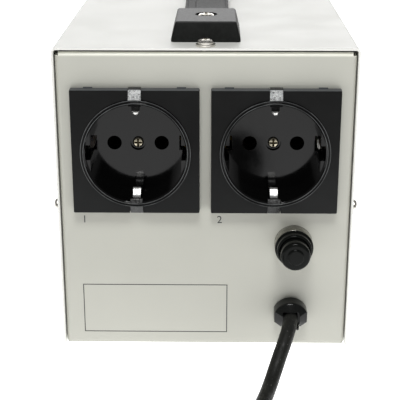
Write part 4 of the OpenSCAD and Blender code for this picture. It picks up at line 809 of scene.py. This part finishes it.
def relief_outline(inset, reach):
    """The bushing's arch over cut lower corners, drawn in by inset."""
    arch_r, half = 7.3 - inset, 6.7 - inset
    arch_z = 6.2 - 7.3
    turn = math.degrees(math.asin(half / arch_r))
    points = arc(0, arch_z, arch_r, arch_r, 90 - turn, 90 + turn, 24)
    corner_z, foot_z = -2.4 + 0.4 * inset, -4.3 + 0.55 * inset
    foot = [(-4.4 + 0.62 * inset, foot_z), (4.2 - 0.62 * inset, foot_z)]
    points += [(-half, corner_z)] + foot + [(half, corner_z)]
    return [(RELIEF_X + x, REAR_Y - reach, RELIEF_Z + z) for x, z in points]


def add_relief():
    """The bushing's head: an arched block whose front slopes in on every side to the slot for the lead."""
    side_reach, edge_r = 5.1, 1.2
    neck = [(2.3, -8.0), (2.2, -0.02), (0.08, 0.0), (0.0, 0.1)]
    bends = [math.radians(bend) for bend in (0, 15, 27.6, 40, 47, 53.6)]
    front = [(edge_r * (1 - math.cos(a)), side_reach + edge_r * math.sin(a)) for a in bends]
    # two rings on the slope keep its shading flat
    front += [(1.1, 6.52), (2.0, 7.19), (3.1, 8.0), (3.3, 8.12), (3.55, 8.16)]
    head = lofted("bushing_head", [relief_outline(inset, reach) for inset, reach in neck + front])
    slot_half, slot_top, slot_low, corner = 3.5, 2.9, -9.0, 0.8
    slot = [(-slot_half, slot_low)]
    slot += arc(corner - slot_half, slot_top - corner, corner, corner, 180, 90, 3)
    slot += arc(slot_half - corner, slot_top - corner, corner, corner, 90, 0, 3)
    slot += [(slot_half, slot_low)]
    ends = [[(RELIEF_X + x, REAR_Y - d, RELIEF_Z + z) for x, z in slot] for d in (4.0, 12.0)]
    cut(head, [lofted("cutter", ends)])
    finished(head, SLOTS["black_plastic"], sharp=30)
    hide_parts("strain_relief")


def add_lug():
    """The small locking lug that hangs below the bushing."""
    lug = [(2.3, -4.1), (3.4, -4.1)] + arc(2.88, -5.45, 0.52, 0.5, 0, -180, 4)
    rings = [
        [(RELIEF_X + x * (1 - 0.03 * end), REAR_Y - d, RELIEF_Z + z + 0.1 * end) for x, z in lug]
        for d, end in ((4.4, 1), (4.6, 0), (5.9, 0), (6.1, 1))
    ]
    finished(lofted("bushing_lug", rings), SLOTS["black_plastic"])


for outlet in OUTLETS:
    add_outlet_rim(*outlet)
for outlet in OUTLETS:
    add_dimple(*outlet)
add_breaker()
add_relief()
add_lug()
for node in ("socket_plate_left", "socket_plate_right", "handle_cap_rear", "handle_cap_front"):
    eased(node)


# Marks
def printed(name, loops, place, surface, body="case"):
    """Thin ink shapes: loops are outlines in a flat frame, and place turns them into the row frame."""
    points, faces = [], []
    for loop in loops:
        faces.append(tuple(range(len(points), len(points) + len(loop))))
        points += [place @ Vector((x, y, INK)) for x, y in loop]
    return finished(mesh_piece(name, points, faces), surface, body=body, smooth=False)


def bar(x0, y0, x1, y1):
    return [(x0, y0), (x1, y0), (x1, y1), (x0, y1)]


def on_rear(x, z):
    return Matrix.Translation((x, REAR_Y, TRAY_Z + z)) @ Matrix.Rotation(math.pi / 2, 4, "X")


def on_front(x, z):
    turn = Matrix.Rotation(math.pi, 4, "Z") @ Matrix.Rotation(math.pi / 2, 4, "X")
    return Matrix.Translation((x, FRONT_Y, TRAY_Z + z)) @ turn


def numeral(name, text, place):
    """A plain number in ink, as a flat mesh."""
    curve = bpy.data.curves.new(name, "FONT")
    curve.body = text
    curve.size = 4.4 * MM
    curve.align_x, curve.align_y = "LEFT", "BOTTOM"
    letters = linked(name, curve)
    graph = bpy.context.evaluated_depsgraph_get()
    mesh = bpy.data.meshes.new_from_object(letters.evaluated_get(graph))
    bpy.data.objects.remove(letters)
    metres = Matrix.Diagonal((MM, MM, MM, 1)) @ place @ Matrix.Diagonal((1 / MM, 1 / MM, 1 / MM, 1))
    mesh.transform(metres @ Matrix.Translation((0, 0, INK * MM)))
    finished(linked(name, mesh), PRINT, smooth=False)


def add_rear_marks():
    """A number under each outlet, and an empty frame."""
    number_z = 53.2
    numeral("print_one", "1", on_rear(-49.5, number_z))
    numeral("print_two", "2", on_rear(4.6, number_z))
    x0, x1, z0, z1, w = -50.1, 9.1, 5.5, 27.1, 0.35
    sides = [
        bar(x0, z0, x1, z0 + w), bar(x0, z1 - w, x1, z1), bar(x0, z0 + w, x0 + w, z1 - w),
        bar(x1 - w, z0 + w, x1, z1 - w),
    ]
    printed("print_keyline", sides, on_rear(0, 0), PRINT)


def add_digits():
    """The display's three unlit digits of seven slanted segments, behind its window."""
    pitch, slant, w, h, t, short, behind = 13.0, 0.12, 3.6, 6.6, 1.3, 0.88, 0.55
    segments = [bar(-w + t / 2, y - t / 2, w - t / 2, y + t / 2) for y in (h, 0, -h)]
    segments += [
        bar(x - t / 2, y0 + t / 2, x + t / 2, y1 - t / 2)
        for x, y0, y1 in ((-w, 0, h), (w, 0, h), (-w, -h, 0), (w, -h, 0))
    ]
    loops = []
    for cx in (-pitch, 0.0, pitch):
        for loop in segments:
            mx, my = sum(x for x, _ in loop) / 4, sum(y for _, y in loop) / 4
            loops.append([(cx + mx + (x - mx) * short + slant * y, my + (y - my) * short) for x, y in loop])
    printed("digit_segments", loops, on_front(0, DISPLAY_Z) @ Matrix.Translation((0, 0, -behind)), SEGMENT)


def add_rocker_marks():
    """A bar and a ring on the two slopes of the power switch's rocker."""
    tilt, half_l, pin_in, face, proud = math.radians(ROCKER_TILT), 10.6, 3, 3.02, 5
    pivot = proud - 2 * half_l * math.sin(tilt) - pin_in * math.cos(tilt)
    spin = on_front(ROCKER_X, ROCKER_Z) @ Matrix.Translation((0, 0, pivot)) @ Matrix.Rotation(tilt, 4, "X")
    middle = spin @ Matrix.Translation((0, 0, face))
    upper, lower = (middle @ Matrix.Rotation(s * tilt, 4, "X") for s in (1, -1))
    printed("rocker_on_mark", [bar(-0.5, 4.0, 0.5, 8.0)], upper, WHITE_PRINT, body="rocker")
    sides, in_r, out_r, ring_y = 24, 1.5, 2.3, -6.0
    ring = []
    for k in range(sides):
        a, b = 2 * math.pi * k / sides, 2 * math.pi * (k + 1) / sides
        corners = ((in_r, a), (out_r, a), (out_r, b), (in_r, b))
        ring.append([(r * math.cos(q), r * math.sin(q) + ring_y) for r, q in corners])
    printed("rocker_off_mark", ring, lower, WHITE_PRINT, body="rocker")


add_rear_marks()
add_digits()
add_rocker_marks()


# Stage and light, with places in metres
def add_floor():
    """A pale table that glows more near the part, as the photograph's white ground does."""
    reach, near, far = 4000, 0.2, 0.95
    floor = mesh_piece("floor", [(x, y, 0) for x, y in bar(-reach, -reach, reach, reach)], [(0, 1, 2, 3)])
    s = Surface("floor_paper", (0.3, 0.3, 0.3), 0.9, Specular_IOR_Level=0.1)
    s.shader.inputs["Emission Color"].default_value = (1.0, 1.0, 1.0, 1.0)
    s.mottle(s.noise(3, 2), (0.29, 0.29, 0.29))
    away = s.new("VectorMath", Vector=s.place)
    away.operation = "LENGTH"
    glow = s.spread(away.outputs["Value"], 1.62, 0.95, near, far)
    s.tree.links.new(glow, s.shader.inputs["Emission Strength"])
    finished(floor, s, body=None, smooth=False)


def add_world():
    world = bpy.data.worlds.new("studio")
    bpy.context.scene.world = world
    world.use_nodes = True
    sky = world.node_tree.nodes["Background"].inputs
    sky["Color"].default_value = (1.0, 1.0, 0.995, 1.0)
    sky["Strength"].default_value = 0.18


def add_light(name, place, aim, width, height, watts):
    data = bpy.data.lights.new(name, "AREA")
    data.shape = "RECTANGLE"
    data.size, data.size_y = width, height
    data.energy = watts
    light = linked(name, data)
    turn = (Vector(aim) - Vector(place)).to_track_quat("-Z", "Y").to_matrix().to_4x4()
    light.matrix_world = Matrix.Translation(Vector(place)) @ turn


add_floor()
add_world()
add_light("over", place=(0.0, -0.8, 1.35), aim=(0, 0, 0.1), width=0.5, height=0.4, watts=12)
add_light("back", place=(0.0, 1.4, 0.75), aim=(0, 0, 0.13), width=1.8, height=1.0, watts=12)
bpy.context.scene.view_settings.view_transform = "Standard"
bpy.context.scene.view_settings.look = "None"
